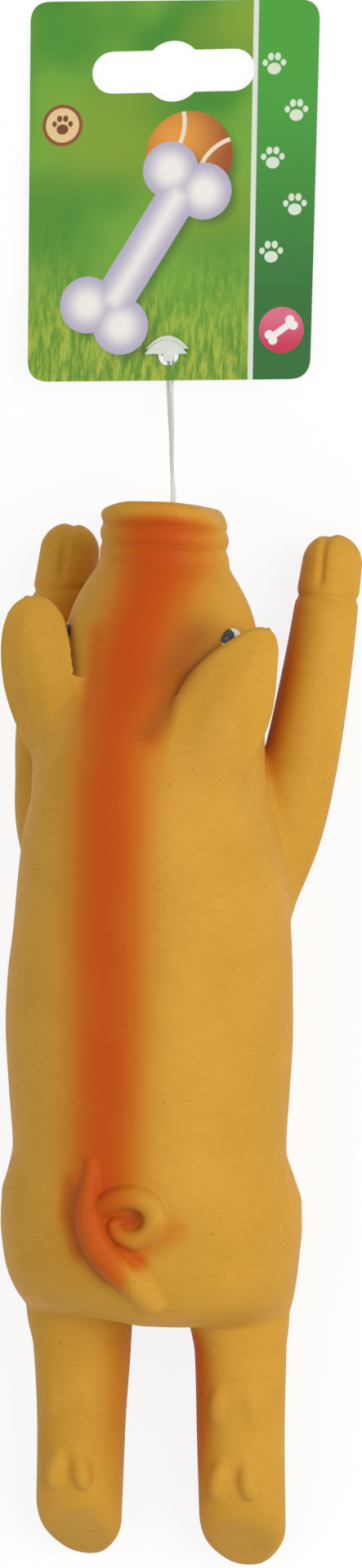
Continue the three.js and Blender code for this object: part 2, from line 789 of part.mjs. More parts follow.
const torsoOutside = torsoForm(0);
const torsoSeat = torsoForm(seam);
const headOutside = headForm(0);
const headSeat = headForm(seam);
const headInside = headForm(-skinWall);
const sides = [
  ["left", -1],
  ["right", 1],
];

function torsoSkin() {
  const belly = block(
    2 * torsoHalfWidth,
    napeEnd - rumpEnd,
    torsoBellyDepth,
    [0, (napeEnd + rumpEnd) / 2, -torsoBellyDepth / 2],
  );
  let made = torsoOutside.subtract(torsoForm(-skinWall)).add(socketTube().intersect(torsoOutside));
  made = made.subtract(headInside);
  for (const [, side] of sides) {
    made = made.subtract(foreForm(side, -skinWall)).subtract(hindForm(side, -skinWall));
  }
  made = made.subtract(rod(socketBore, 2 * squeakerTop, squeakerPlace(squeakerTop - overrun), squeakerSides));
  return made.subtract(belly);
}

addMesh("torso_skin", torsoSkin(), latex());

function headSkin() {
  const front = halfSpace(
    new THREE.Vector3(0, snoutRear - seam, headAxisHeight),
    new THREE.Vector3(0, 1, 0),
    bigReach,
  );
  return headOutside.subtract(headForm(-skinWall)).subtract(torsoSeat).subtract(front);
}

addMesh("head_skin", headSkin(), latex());
addMesh("snout_skin", snoutForm(), latex());
addMesh("tail", tailForm().subtract(torsoSeat), latex());

// A low dome on the cheek, grown by a length
function eyeForm(side, grow) {
  const eye = new THREE.SphereGeometry(1, 14, 8);
  eye.scale(eyeRadius + grow, eyeRadius + grow, eyeDepth + grow);
  const outward = new THREE.Vector3(side * eyeAside, 0, eyeHeight - headAxisHeight).normalize();
  eye.applyQuaternion(new THREE.Quaternion().setFromUnitVectors(up, outward));
  eye.translate(side * eyeAside, eyeForward, eyeHeight);
  return solid(eye);
}

const underLeaf = torsoForm(earGap).add(headForm(earGap));

for (const [word, side] of sides) {
  addMesh(`eye_${word}`, eyeForm(side, 0).subtract(headSeat), eyePaint());

  const ear = solid(loft(earFrames(side))).subtract(torsoSeat).subtract(headSeat);
  const [earRoot, leaf] = splitAt(ear, ...earSplit(side));
  const earLeaf = leaf.subtract(underLeaf).subtract(eyeForm(side, earGap));
  addMesh(`ear_root_${word}`, earRoot, latex());
  addMesh(`ear_${word}`, earLeaf, latex());

  const foreShell = foreForm(side, 0).subtract(foreForm(side, -skinWall)).subtract(torsoSeat);
  const foreLine = foreStations(side).map(({ at }) => at);
  const foreRun = foreLine.at(-1).clone().sub(foreLine[2]);
  const foreSplit = foreLine[2].clone().addScaledVector(foreRun, foreSplitShare);
  const [shoulder, foreleg] = splitAt(foreShell, foreSplit, foreRun.clone().normalize());
  const cleft = block(
    cleftWidth,
    2 * cleftLength,
    2 * cleftDepth,
    [side * foreTips[word][0], foreTips[word][1], foreTipHeight + foreTipRadius],
  );
  addMesh(`shoulder_${word}`, shoulder, latex());
  addMesh(`foreleg_${word}`, foreleg.subtract(cleft), latex());

  const hindShell = hindForm(side, 0).subtract(hindForm(side, -skinWall)).subtract(torsoSeat);
  const hindLine = hindStations(side).map(({ at }) => at);
  const hindRun = hindLine.at(-1).clone().sub(hindLine[1]);
  const hindSplit = hindLine[1].clone().addScaledVector(hindRun, hindSplitShare);
  const [hip, hindleg] = splitAt(hindShell, hindSplit, hindRun.clone().normalize());
  addMesh(`hip_${word}`, hip, latex());
  let foot = hindleg;
  for (const half of [-1, 1]) {
    const claw = new THREE.SphereGeometry(1, 10, 6);
    claw.scale(clawRadius, clawLength / 2, clawRadius);
    const [pairAside, pairSpacing] = clawPairs[word];
    claw.translate(
      side * pairAside + (half * pairSpacing) / 2,
      clawForward,
      hindHeightAt(clawForward) + hindFootRadius - clawRadius / 2,
    );
    foot = foot.add(solid(claw).subtract(hindForm(side, -skinWall / 2)));
  }
  addMesh(`hindleg_${word}`, foot, latex());
}

addMesh("squeaker_housing", squeakerHousing(), whitePlastic());
addMesh("squeaker_cap", squeakerCap(), whitePlastic());
addMesh("reed_block", reedBlock(), whitePlastic());
addMesh(
  "reed",
  block(reedWidth, blockLength, reedThickness, squeakerPlace(reedHeight)),
  brassStrip(),
);
addMesh(
  "reed_clamp",
  block(
    blockWidth,
    clampLength,
    clampHeight,
    [0, reedRootForward + clampLength / 2, clampBase + clampHeight / 2],
  ),
  whitePlastic(),
);

const card = addMesh("hang_card", cardGeometry(), printedCard());
placeOnCard(card, 0, 0, 0);
const leafStep = toggleThickness + fit;
const lowerToggle = addMesh("toggle_lower", toggleGeometry(lowerStem), clearPlastic());
placeOnCard(lowerToggle, 0, holeInset + toggleShift, cardThickness + fit);
const upperToggle = addMesh("toggle_upper", toggleGeometry(upperStem), clearPlastic());
placeOnCard(upperToggle, 0, holeInset, cardThickness + fit + leafStep);
strandRoutes.forEach((route, i) => {
  addMesh(`loop_strand_${i + 1}`, strandGeometry(route), clearPlastic());
});

group.position.y = -(noseFront + soleRear) / 2;

export default group;
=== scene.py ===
import math
import bpy
import numpy as np
from mathutils import Matrix, Vector


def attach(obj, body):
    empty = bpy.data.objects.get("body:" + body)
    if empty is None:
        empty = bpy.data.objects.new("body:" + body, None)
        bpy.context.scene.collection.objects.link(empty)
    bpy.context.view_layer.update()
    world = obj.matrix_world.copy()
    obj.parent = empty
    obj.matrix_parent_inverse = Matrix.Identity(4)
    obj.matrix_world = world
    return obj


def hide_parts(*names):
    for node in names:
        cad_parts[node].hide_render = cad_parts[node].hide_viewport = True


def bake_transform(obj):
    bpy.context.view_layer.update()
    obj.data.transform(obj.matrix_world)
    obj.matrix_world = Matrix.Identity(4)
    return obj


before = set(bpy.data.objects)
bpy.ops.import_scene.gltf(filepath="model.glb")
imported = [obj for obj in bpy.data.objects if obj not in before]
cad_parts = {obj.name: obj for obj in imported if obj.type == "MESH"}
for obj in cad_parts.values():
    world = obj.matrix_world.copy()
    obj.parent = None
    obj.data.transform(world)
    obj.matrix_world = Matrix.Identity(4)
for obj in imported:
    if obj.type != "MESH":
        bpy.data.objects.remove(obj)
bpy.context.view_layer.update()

# Lengths are millimetres in the part's own frame, unless a comment says metres
MM = 0.001
FRAME_SHIFT = -1.4  # from the part's own frame to the row frame, along Y


scene = bpy.context.scene


def row(x, y, z):
    """A place in the row frame, in metres."""
    return (x * MM, (y + FRAME_SHIFT) * MM, z * MM)


def length(vectors):
    return np.linalg.norm(vectors, axis=1)


def unit(vectors):
    return vectors / (length(vectors)[:, None] + 1e-9)


# Camera, its place and clipping in metres
PHOTO_HEIGHT_PX, FOCAL_PX, SENSOR_HEIGHT = 1920, 7668, 24
CAMERA_PLACE = (0.3241, 0.06896, 1.18243)
CAMERA_RIGHT = (0.9632, 0.0318, -0.2670)
CAMERA_UP = (-0.0351, 0.9994, -0.0074)
CAMERA_BACK = (0.2666, 0.0165, 0.9637)

camera_data = bpy.data.cameras.new("photo_camera")
camera_data.sensor_fit = "VERTICAL"
camera_data.sensor_height = SENSOR_HEIGHT
camera_data.lens = SENSOR_HEIGHT * FOCAL_PX / PHOTO_HEIGHT_PX
camera_data.clip_start = 0.05
camera_data.clip_end = 20
camera = bpy.data.objects.new("photo_camera", camera_data)
scene.collection.objects.link(camera)
turn = Matrix((CAMERA_RIGHT, CAMERA_UP, CAMERA_BACK)).transposed().to_quaternion().to_matrix().to_4x4()
camera.matrix_world = Matrix.Translation(CAMERA_PLACE) @ turn
scene.camera = camera

# Node helpers
MIX_INPUTS, MIX_OUTPUT = (0, 6, 7), 2  # a Mix node's share and two colours, and its colour
NOISE_LOW, NOISE_HIGH = 0.3, 0.7  # between these lies most of a noise


class Tree:
    """Short calls that add nodes to a material or a world."""

    def __init__(self, owner):
        owner.use_nodes = True
        self.owner = owner
        self.tree = owner.node_tree
        self.shader = self.found("BSDF_PRINCIPLED", "BACKGROUND")

    def found(self, *kinds):
        return next(n for n in self.tree.nodes if n.type in kinds)

    def node(self, kind, **settings):
        made = self.tree.nodes.new(kind)
        for key, value in settings.items():
            setattr(made, key, value)
        return made

    def put(self, socket, value):
        """Links a socket, or sets a number or a colour."""
        if isinstance(value, bpy.types.NodeSocket):
            self.tree.links.new(value, socket)
        else:
            socket.default_value = value

    def set(self, made, values):
        """Puts values into a node's inputs by name."""
        for name, value in values.items():
            self.put(made.inputs[name], value)
        return made.outputs[0]

    def fill(self, made, *values):
        """Puts values into a node's first inputs, in order."""
        for socket, value in zip(made.inputs, values):
            self.put(socket, value)
        return made.outputs[0]

    def shade(self, values):
        """Puts values into the shader by name and gives its owner."""
        self.set(self.shader, values)
        return self.owner

    def math(self, operation, *values, clamp=False):
        return self.fill(self.node("ShaderNodeMath", operation=operation, use_clamp=clamp), *values)

    def minus(self, a, b):
        return self.math("SUBTRACT", a, b)

    def times(self, a, b, clamp=False):
        return self.math("MULTIPLY", a, b, clamp=clamp)

    def size(self, a):
        return self.math("ABSOLUTE", a)

    def greater(self, a, b):
        return self.math("MAXIMUM", a, b)

    def mix(self, share, a, b):
        """Mixes two colours, given as sockets or as sRGB colours of 0 to 255."""
        made = self.node("ShaderNodeMix", data_type="RGBA")
        for i, value in zip(MIX_INPUTS, (share, a, b)):
            self.put(made.inputs[i], linear(*value) if isinstance(value, tuple) else value)
        return made.outputs[MIX_OUTPUT]

    def step(self, value, low, high, to_low=0.0, to_high=1.0):
        made = self.node("ShaderNodeMapRange", interpolation_type="SMOOTHSTEP", clamp=True)
        return self.fill(made, value, low, high, to_low, to_high)

    def spread(self, noise, to_low=0.0, to_high=1.0):
        return self.step(noise, NOISE_LOW, NOISE_HIGH, to_low, to_high)

    def noise(self, vector, scale, detail=3.0, roughness=0.5):
        made = self.node("ShaderNodeTexNoise")
        self.set(made, {"Vector": vector, "Scale": scale, "Detail": detail, "Roughness": roughness})
        return made.outputs["Fac"]

    def stretched(self, vector, x, y, z):
        made = self.node("ShaderNodeMapping")
        made.inputs["Scale"].default_value = (x, y, z)
        return self.set(made, {"Vector": vector})

    def attribute(self, name):
        return self.node("ShaderNodeAttribute", attribute_name=name).outputs["Fac"]

    def place(self):
        return self.node("ShaderNodeTexCoord").outputs["Object"]

    def bump(self, height, strength, distance, **more):
        """A normal over a height, with its distance in metres."""
        made = self.node("ShaderNodeBump")
        return self.set(made, {"Strength": strength, "Distance": distance, "Height": height, **more})

    def seen(self):
        """1 where the camera looks, also in a mirror or through something clear."""
        rays = self.node("ShaderNodeLightPath").outputs
        either = self.greater(rays["Is Camera Ray"], rays["Is Glossy Ray"])
        return self.greater(either, rays["Is Transmission Ray"])

    def show(self, share, lit, shown):
        """Ends the tree in one shader that lights and another that is seen."""
        mixed = self.fill(self.node("ShaderNodeMixShader"), share, lit, shown)
        self.put(self.found("OUTPUT_MATERIAL", "OUTPUT_WORLD").inputs["Surface"], mixed)


def new_tree(name):
    return Tree(bpy.data.materials.new(name))


def linear(*rgb):
    """An sRGB colour of 0 to 255 as linear values, with full alpha."""
    shares = [c / 255 for c in rgb]
    return (*(c / 12.92 if c <= 0.04045 else ((c + 0.055) / 1.055) ** 2.4 for c in shares), 1)


def clear_plastic(name, tint, alpha):
    t = new_tree(name)
    place = t.place()
    haze = t.noise(place, 900, 2)
    drawn = t.noise(t.stretched(place, 1, 0.3, 1), 1500, 2)
    return t.shade({
        "Base Color": t.mix(haze, tint, (250, 252, 248)),
        "Roughness": t.spread(haze, 0.22, 0.38),
        "IOR": 1.49,
        "Alpha": alpha,
        "Normal": t.bump(drawn, 0.15, 0.0002),
    })


# Loop: the two strands, as free cords from the nose to the card's hole
STRAND_DIAMETER, STRAND_STEPS = 0.7, 4
STRAND_ROUTES = [
    [
        (1, 100.4, 27.2), (1, 102.8, 27.2), (1, 105.2, 27.2), (0.5, 107.7, 25.7), (-0.2, 110, 23.4),
        (-1.5, 113, 19.1), (-2.9, 116, 14.4), (-4.2, 119.2, 10), (-5.4, 122.5, 6.2), (-6.2, 125.5, 4),
        (-6.7, 128.4, 2.5), (-6.8, 130.1, 2), (-6.7, 131.6, 1.9), (-6.67, 132.46, 2.27),
        (-6.64, 133.05, 2.9), (-6.64, 133.14, 4.76),
    ],
    [
        (1, 100.4, 25.8), (1, 102.8, 25.8), (1, 105.2, 25.8), (0.3, 107.7, 24.2), (-0.7, 110, 21.8),
        (-2.2, 113, 17.4), (-3.7, 116, 12.6), (-5.1, 119.1, 8.4), (-6.4, 122.5, 4.9), (-7.2, 125.5, 2.9),
        (-7.75, 128.4, 1.7), (-7.9, 130.5, 1.2), (-7.9, 132.4, 1.2), (-7.95, 133.38, 1.58),
        (-7.99, 134.05, 2.2), (-7.99, 134.14, 3.86),
    ],
]


# which knots each rung of the ladder runs between, from four points to one place
CATMULL_RUNGS = (((0, 1), (1, 2), (2, 3)), ((0, 2), (1, 3)), ((1, 2),))


def catmull(points, steps):
    """A smooth line through points, centripetal, as an array of places."""
    p = np.array(points, float)
    ends = np.vstack([2 * p[0] - p[1], p, 2 * p[-1] - p[-2]])
    line = []
    for i in range(1, len(ends) - 2):
        four = ends[i - 1 : i + 3]
        k = np.r_[0, np.cumsum(np.sqrt(length(np.diff(four, axis=0))))]
        for t in np.linspace(k[1], k[2], steps, endpoint=False):
            rung = four
            for spans in CATMULL_RUNGS:
                rung = [
                    ((k[high] - t) * a + (t - k[low]) * b) / (k[high] - k[low])
                    for (low, high), a, b in zip(spans, rung, rung[1:])
                ]
            line.append(rung[0])
    return np.array(line + [p[-1]])


def run_along(line):
    """The run from a line's start to each of its places."""
    return np.r_[0, np.cumsum(length(np.diff(line, axis=0)))]


def strand(name, line, material):
    curve = bpy.data.curves.new(name, "CURVE")
    curve.dimensions = "3D"
    spline = curve.splines.new("POLY")
    spline.points.add(len(line) - 1)
    for point, place in zip(spline.points, line):
        point.co = (*row(*place), 1)
    curve.bevel_depth = STRAND_DIAMETER / 2 * MM
    curve.bevel_resolution = 4
    curve.use_fill_caps = True
    curve.materials.append(material)
    made = bpy.data.objects.new(name, curve)
    scene.collection.objects.link(made)
    return made


strand_plastic = clear_plastic("loop_plastic", (226, 228, 222), 0.72)
for number, route in enumerate(STRAND_ROUTES, 1):
    line = catmull(route, STRAND_STEPS)
    piece = strand(f"loop_strand_{number}_cord", line, strand_plastic)
    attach(piece, "tag_loop")
    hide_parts(f"loop_strand_{number}")

# Skin: one continuous moulded form, worked out as a distance field and meshed here


def soft_min(a, b, k):
    h = np.clip(0.5 + 0.5 * (b - a) / k, 0, 1)
    return b + (a - b) * h - k * h * (1 - h)


def soft_max(a, b, k):
    return -soft_min(-a, -b, k)


def ramp(x, low, high):
    t = np.clip((x - low) / (high - low), 0, 1)
    return t * t * (3 - 2 * t)


def bell(x, half):
    """1 in the middle, falling off at a half-width."""
    return np.exp(-((x / half) ** 2))


class Table:
    """Monotone smooth lines through rows of a knot and its values."""

    def __init__(self, rows, steps=500):
        x, *columns = np.array(rows, float).T
        self.grid = np.linspace(x[0], x[-1], steps)
        self.columns = [self.filled(x, column) for column in columns]

    def filled(self, x, v):
        h = np.diff(x)
        d = np.diff(v) / h
        m = np.zeros_like(v)
        m[0], m[-1] = d[0], d[-1]
        for i in range(1, len(x) - 1):
            if d[i - 1] * d[i] > 0:
                w1, w2 = 2 * h[i] + h[i - 1], h[i] + 2 * h[i - 1]
                m[i] = (w1 + w2) / (w1 / d[i - 1] + w2 / d[i])
        i = np.clip(np.searchsorted(x, self.grid, side="right") - 1, 0, len(x) - 2)
        t = (self.grid - x[i]) / h[i]
        return (
            v[i] * (2 * t**3 - 3 * t**2 + 1)
            + m[i] * h[i] * (t**3 - 2 * t**2 + t)
            + v[i + 1] * (3 * t**2 - 2 * t**3)
            + m[i + 1] * h[i] * (t**3 - t**2)
        )

    def __call__(self, x, column=0):
        return np.interp(x, self.grid, self.columns[column])


# Torso, from the rump to the nape
RUMP_END, NAPE_END = -53.9, 72
RUMP_FLAT, RUMP_SKEW, RUMP_SKEW_RUN = 0.5, 1.1, (0, 8)  # how far the rump's end is cut off, more at the left
RUMP_ROUND, NAPE_ROUND, BELLY_FLAT = 2.5, 6, 0.5
TORSO_HALF, TORSO_BACK, TORSO_BELLY, AXIS_CLIMB = 27.5, 27.5, 28.5, 0.1184
# along, half-width, back, belly, aside
TORSO = [
    (0, 0.34, 0.26, 0.26, 0), (0.01, 0.65, 0.47, 0.44, 0), (0.028, 0.855, 0.66, 0.58, 0),
    (0.046, 0.945, 0.77, 0.66, 0.005), (0.083, 1.015, 0.9, 0.75, 0.006), (0.12, 1.045, 0.955, 0.8, 0.01),
    (0.157, 1.062, 0.98, 0.83, 0.016), (0.2, 1.055, 0.985, 0.86, 0.02), (0.235, 1.005, 0.985, 0.88, 0.017),
    (0.277, 0.955, 0.985, 0.9, 0.005), (0.367, 0.98, 0.99, 0.955, 0), (0.457, 1.0, 1.0, 1.005, 0),
    (0.534, 0.988, 1.0, 1.045, 0.006), (0.608, 0.958, 1.0, 1.08, 0.02), (0.68, 0.93, 0.99, 1.105, 0.024),
    (0.75, 0.88, 0.975, 1.085, 0.016), (0.82, 0.79, 0.94, 1.0, 0.005), (0.885, 0.705, 0.86, 0.93, 0),
    (0.94, 0.68, 0.68, 0.88, 0), (1, 0.54, 0.43, 0.83, 0),
]
# the axis lies so high that the ground cuts the belly flat
AXIS_HEIGHT = max(
    belly * TORSO_BELLY - AXIS_CLIMB * (RUMP_END + (NAPE_END - RUMP_END) * at)
    for at, _, _, belly, _ in TORSO
) - BELLY_FLAT
torso_table = Table([(math.sqrt(at), *shares) for at, *shares in TORSO])

# Head, from inside the nape to the snout
HEAD_REAR, SNOUT_REAR, HEAD_FRONT = 52, 92, 93.5
HEAD_HALF, HEAD_AXIS, HEAD_ROUND = 21, 28.3, 2
# along, half-width, crown, jaw
HEAD = [
    (0, 0.93, 0.95, 0.93), (0.2, 0.95, 0.96, 0.95), (0.37, 0.962, 0.95, 0.96), (0.52, 0.93, 0.925, 0.94),
    (0.68, 0.88, 0.87, 0.88), (0.8, 0.815, 0.79, 0.8), (0.9, 0.722, 0.7, 0.7), (1, 0.6, 0.59, 0.6),
]
head_table = Table(HEAD)


def sections(x, dz, half, above, below):
    """Distance to an oval section, whose upper and lower halves have their own heights."""
    high = np.where(dz > 0, above, below)
    k1 = np.sqrt((x / half) ** 2 + (dz / high) ** 2)
    k2 = np.sqrt((x / half**2) ** 2 + (dz / high**2) ** 2)
    return k1 * (k1 - 1) / np.maximum(k2, 1e-5)


def torso_share(y):
    """Place along the torso as its table has it, finer near the rump."""
    return np.sqrt(np.clip((y - RUMP_END) / (NAPE_END - RUMP_END), 0, 1))


def torso_field(p):
    x, y, z = p.T
    at = torso_share(y)
    half, back, belly, aside = (torso_table(at, i) for i in range(4))
    dz = z - (AXIS_HEIGHT + AXIS_CLIMB * y)
    d = sections(x - aside * TORSO_HALF, dz, half * TORSO_HALF, back * TORSO_BACK, belly * TORSO_BELLY)
    rump = RUMP_END + RUMP_FLAT + RUMP_SKEW * ramp(2 - x, *RUMP_SKEW_RUN)
    d = soft_max(d, rump - y, RUMP_ROUND)
    return soft_max(d, y - NAPE_END, NAPE_ROUND)


def head_field(p):
    x, y, z = p.T
    t = np.clip((y - HEAD_REAR) / (SNOUT_REAR - HEAD_REAR), 0, 1)
    half, crown, jaw = (head_table(t, i) * HEAD_HALF for i in range(3))
    d = sections(x, z - HEAD_AXIS, half, crown, jaw)
    return soft_max(d, np.maximum(HEAD_REAR - y, y - HEAD_FRONT), HEAD_ROUND)


# Snout, with its folds, its domed front and two nostrils
NOSE_FRONT, SNOUT_ROOT, SNOUT_RADIUS, SNOUT_PROUD = 104.3, 86, 12.1, 0.35
NOSE_DOME, NOSE_ROUND, SNOUT_ROOT_ROUND = 0.2, 1.8, 2
SNOUT_GROOVES = [(99.6, 0.7, 1.0), (96.0, 0.6, 1.0), (92.6, 0.48, 1.1), (90.2, 0.2, 1.3)]  # at, deep, wide
GROOVE_SKEW, GROOVE_POWER = 0.045, 1.35
NOSE_FALLS = [(1, 1.3, 2.5, 13.5), (1, 3.0, 8.6, 12.8), (-1, 1.2, 4, 13)]  # side, fall, from and to aside
NOSTRIL_ASIDE, NOSTRIL_HALVES, NOSTRIL_DEPTH, NOSTRIL_ROUND = 4.2, (1.7, 1.5, 2.6), 1.5, 0.8


def snout_grooves(x, y):
    """How far the snout's skin falls in at each groove. The grooves run slightly askew."""
    fall = np.zeros_like(y)
    for at, deep, wide in SNOUT_GROOVES:
        fall += deep * np.exp(-np.abs((y + GROOVE_SKEW * x - at) / wide) ** GROOVE_POWER)
    return fall


def snout_field(p):
    x, y, z = p.T
    dz = z - HEAD_AXIS
    r = np.sqrt(x**2 + dz**2)
    d = r - (SNOUT_RADIUS + SNOUT_PROUD - snout_grooves(x, y))
    front = y - NOSE_FRONT + NOSE_DOME * (r / SNOUT_RADIUS) ** 2
    for side, fall, start, end in NOSE_FALLS:
        front += fall * ramp(side * x, start, end)
    d = soft_max(soft_max(d, front, NOSE_ROUND), SNOUT_ROOT - y, SNOUT_ROOT_ROUND)
    for side in (-1, 1):
        off = np.stack([x - side * NOSTRIL_ASIDE, y - NOSE_FRONT, dz], 1) / NOSTRIL_HALVES
        d = soft_max(d, (1 - length(off)) * NOSTRIL_DEPTH, NOSTRIL_ROUND)
    return d


def chain_field(p, line, radii):
    """Distance to a tapering round chain along a line."""
    best = np.full(len(p), 1e3)
    for a, b, ra, rb in zip(line[:-1], line[1:], radii[:-1], radii[1:]):
        ab = b - a
        t = np.clip((p - a) @ ab / (ab @ ab), 0, 1)
        best = np.minimum(best, length(p - a - t[:, None] * ab) - (ra + (rb - ra) * t))
    return best


# Limbs, as the middle line of each with its radii. The two sides of the moulding differ a little
FOOT_LIFT, LIMB_STEPS = 0.3, 8
HOOF_RADIUS = 5.8
HOOF_HEIGHT = HOOF_RADIUS + FOOT_LIFT
FORE_STATIONS = {
    -1: [
        ((-17.0, 31, 18), 10.1), ((-22.3, 42, 16), 8.9), ((-25.5, 53, 13.9), 7.0), ((-26.3, 73.5, 10.0), 6.6),
        ((-25.4, 94.8, HOOF_HEIGHT), HOOF_RADIUS),
    ],
    1: [
        ((16.5, 31, 18), 9.2), ((21.2, 42, 16), 8.3), ((23.95, 53, 13.9), 7.4), ((26.3, 73.5, 10.0), 6.6),
        ((27.6, 93.9, HOOF_HEIGHT), HOOF_RADIUS),
    ],
}
SOLE_REAR, HIND_FOOT, HIND_RADIUS = -101.5, 16.8, 8.3
HIND_HEIGHT = HIND_RADIUS + FOOT_LIFT


def leg_height(y):
    """Height of a hind leg's middle line, which climbs as the torso's axis does."""
    return HIND_HEIGHT + (y - SOLE_REAR) * AXIS_CLIMB


HIND_STATIONS = {
    -1: [
        ((-14.6, -38, 16.5), 9.6), ((-16.1, -50, leg_height(-50)), 10.4),
        ((-15.6, -58, leg_height(-58)), 9.6), ((-15.8, -75.75, leg_height(-75.75)), 8.6),
        ((-16.6, SOLE_REAR, HIND_HEIGHT), HIND_RADIUS),
    ],
    1: [
        ((14.6, -38, 16.5), 9.6), ((15.9, -50, leg_height(-50)), 9.8),
        ((16.3, -58, leg_height(-58)), 8.9), ((16.4, -75.75, leg_height(-75.75)), 8.5),
        ((17.0, SOLE_REAR, HIND_HEIGHT), HIND_RADIUS),
    ],
}


def limb_line(stations):
    """A smooth line through stations of (place, radius), with its radii."""
    line = catmull([place for place, _ in stations], LIMB_STEPS)
    radii = Table(list(zip(np.linspace(0, 1, len(stations)), [radius for _, radius in stations])))
    return line, radii(np.linspace(0, 1, len(line)))


LIMBS = {}
for word, side in (("left", -1), ("right", 1)):
    LIMBS[f"foreleg_{word}"] = (side, *limb_line(FORE_STATIONS[side]))
    LIMBS[f"hindleg_{word}"] = (side, *limb_line(HIND_STATIONS[side]))

HOOF_MIDDLE = {-1: -25.0, 1: 27.0}
RING_AT, RING_SKEW, RING_HALF, RING_DEPTH = 88.6, 0.05, 0.75, 0.5
CLEFT_HALF, CLEFT_DEPTH, CLEFT_RUN, CLEFT_RISE = 0.75, 0.75, (88.5, 91), (5, 9)
NOTCH_HALF, NOTCH_DEPTH, NOTCH_RUN = 1.1, 0.5, (97.5, 99.7)


def fore_field(p, side, line, radii):
    """A foreleg with the ring behind its hoof, the cleft on top of it and the notch in front."""
    x, y, z = p.T
    aside = x - HOOF_MIDDLE[side]
    ring = bell(y + RING_SKEW * side * x - RING_AT, RING_HALF)
    cleft = bell(aside, CLEFT_HALF) * ramp(y, *CLEFT_RUN) * ramp(z, *CLEFT_RISE)
    notch = bell(aside, NOTCH_HALF) * ramp(y, *NOTCH_RUN)
    return chain_field(p, line, radii) + RING_DEPTH * ring + CLEFT_DEPTH * cleft + NOTCH_DEPTH * notch


SOLE_LEAN, SOLE_BACK, SOLE_ROUND = math.radians(38), 1.9, 3.6
SOLE_TURN = {-1: 0.0, 1: 0.1}
# the sole's corners: which side of the foot, and how far out the end is cut off askew
SOLE_CORNERS = {-1: ((-1, 3.1), (1, 3.0)), 1: ((-1, 3.6), (1, 2.2))}
CORNER_ACROSS, CORNER_ALONG, CORNER_MIDDLE, CORNER_ROUND = 0.76, 0.65, 0.2, 2.6
# dew claws: the pairs' middle line and spread, then along, half-width, length, lifts at left and right
CLAW_PAIR = {-1: (-16.0, 2.6), 1: (17.1, 3.0)}
CLAWS = {
    -1: ((-83.2, 1.9, 7.4, (0.75, 0.75)), (-68.0, 1.8, 8.0, (-1.1, -1.1))),
    1: ((-83.2, 1.9, 7.4, (0.75, 0.75)), (-68.0, 1.8, 8.0, (0.3, -0.9))),
}
CLAW_TURN, CLAW_ROUND = 0.16, 1.1


def hind_field(p, side, line, radii):
    """A hind leg with its slanted sole and two pairs of dew claws."""
    d = chain_field(p, line, radii)
    lean = np.array([SOLE_TURN[side], -math.cos(SOLE_LEAN), math.sin(SOLE_LEAN)])
    lean /= np.linalg.norm(lean)
    rear = SOLE_REAR - SOLE_BACK
    heel = np.array([side * HIND_FOOT, rear + math.tan(SOLE_LEAN) * HIND_RADIUS, HIND_HEIGHT])
    d = soft_max(d, (p - heel) @ lean, SOLE_ROUND)
    aside = p[:, 0] - side * HIND_FOOT - CORNER_MIDDLE
    for turned, reach in SOLE_CORNERS[side]:
        corner = CORNER_ACROSS * turned * aside - CORNER_ALONG * (p[:, 1] - rear) - reach
        d = soft_max(d, corner, CORNER_ROUND)
    middle, spread = CLAW_PAIR[side]
    for half, which in ((-1, 0), (1, 1)):
        for at, wide, long, lifts in CLAWS[side]:
            height = leg_height(at) + HIND_RADIUS - wide / 2 + lifts[which]
            q = p - np.array([middle + half * spread, at, height])
            q[:, 0] += CLAW_TURN * half * q[:, 1]
            k = length(q / (wide, long / 2, wide))
            d = soft_min(d, (k - 1) * wide, CLAW_ROUND)
    return d


# Ears: the middle line of each from the nape to its tip, and the leaf's half-width from the tip backwards
EAR_PLACES = {
    -1: [
        (-10.5, 46.5, 47.5), (-13.2, 56.3, 48.2), (-16.9, 64.5, 45.8), (-20.9, 74, 41.6),
        (-24.3, 85.3, 36.3),
    ],
    1: [(12.6, 44, 48.3), (15.2, 55.0, 49.6), (17.4, 63.5, 47.4), (20.4, 72.5, 42.6), (23.8, 80.6, 37.9)],
}
EAR_LEAF = {
    -1: [(0, 0.3), (1, 3.0), (3, 5.0), (7, 6.9), (12, 8.1), (17, 8.8), (24, 9.0), (32, 8.0), (40, 6.5)],
    1: [
        (0, 0.2), (1, 1.9), (2.9, 3.6), (5, 4.7), (9.5, 6.9), (15, 8.8), (21, 9.6), (28, 9.5), (36, 7.6),
        (40, 6.0),
    ],
}
EAR_LEAN = {-1: (40, 12), 1: (46, 26)}  # degrees of the leaf's width from level, at its root and its tip
EAR_EDGE, EAR_PLUMP, EAR_BOW, EAR_BOW_HALF = 1.5, 0.9, 1.6, 8.5
EAR_STEPS, LEAF_STEPS, LEAF_LEAST = 16, 40, 0.2
EAR_SCALE = 0.95  # keeps the bowed leaf's field below the true distance
# shares of the ear's length: where its join with the neck sharpens, and where the leaf comes free
EAR_JOIN = {-1: (0.12, 0.48), 1: (0.05, 0.4)}
EAR_FREE = (0.42, 0.52)
EAR_GAP, EAR_SUNK, EAR_ROUND = 1.0, 8, 1.4
EAR_ROOT_BLEND, EAR_BLEND_FALL = 6.5, 5.6
EYE, EYE_RADIUS = (15.252, 77.6, 36.5), 3.0


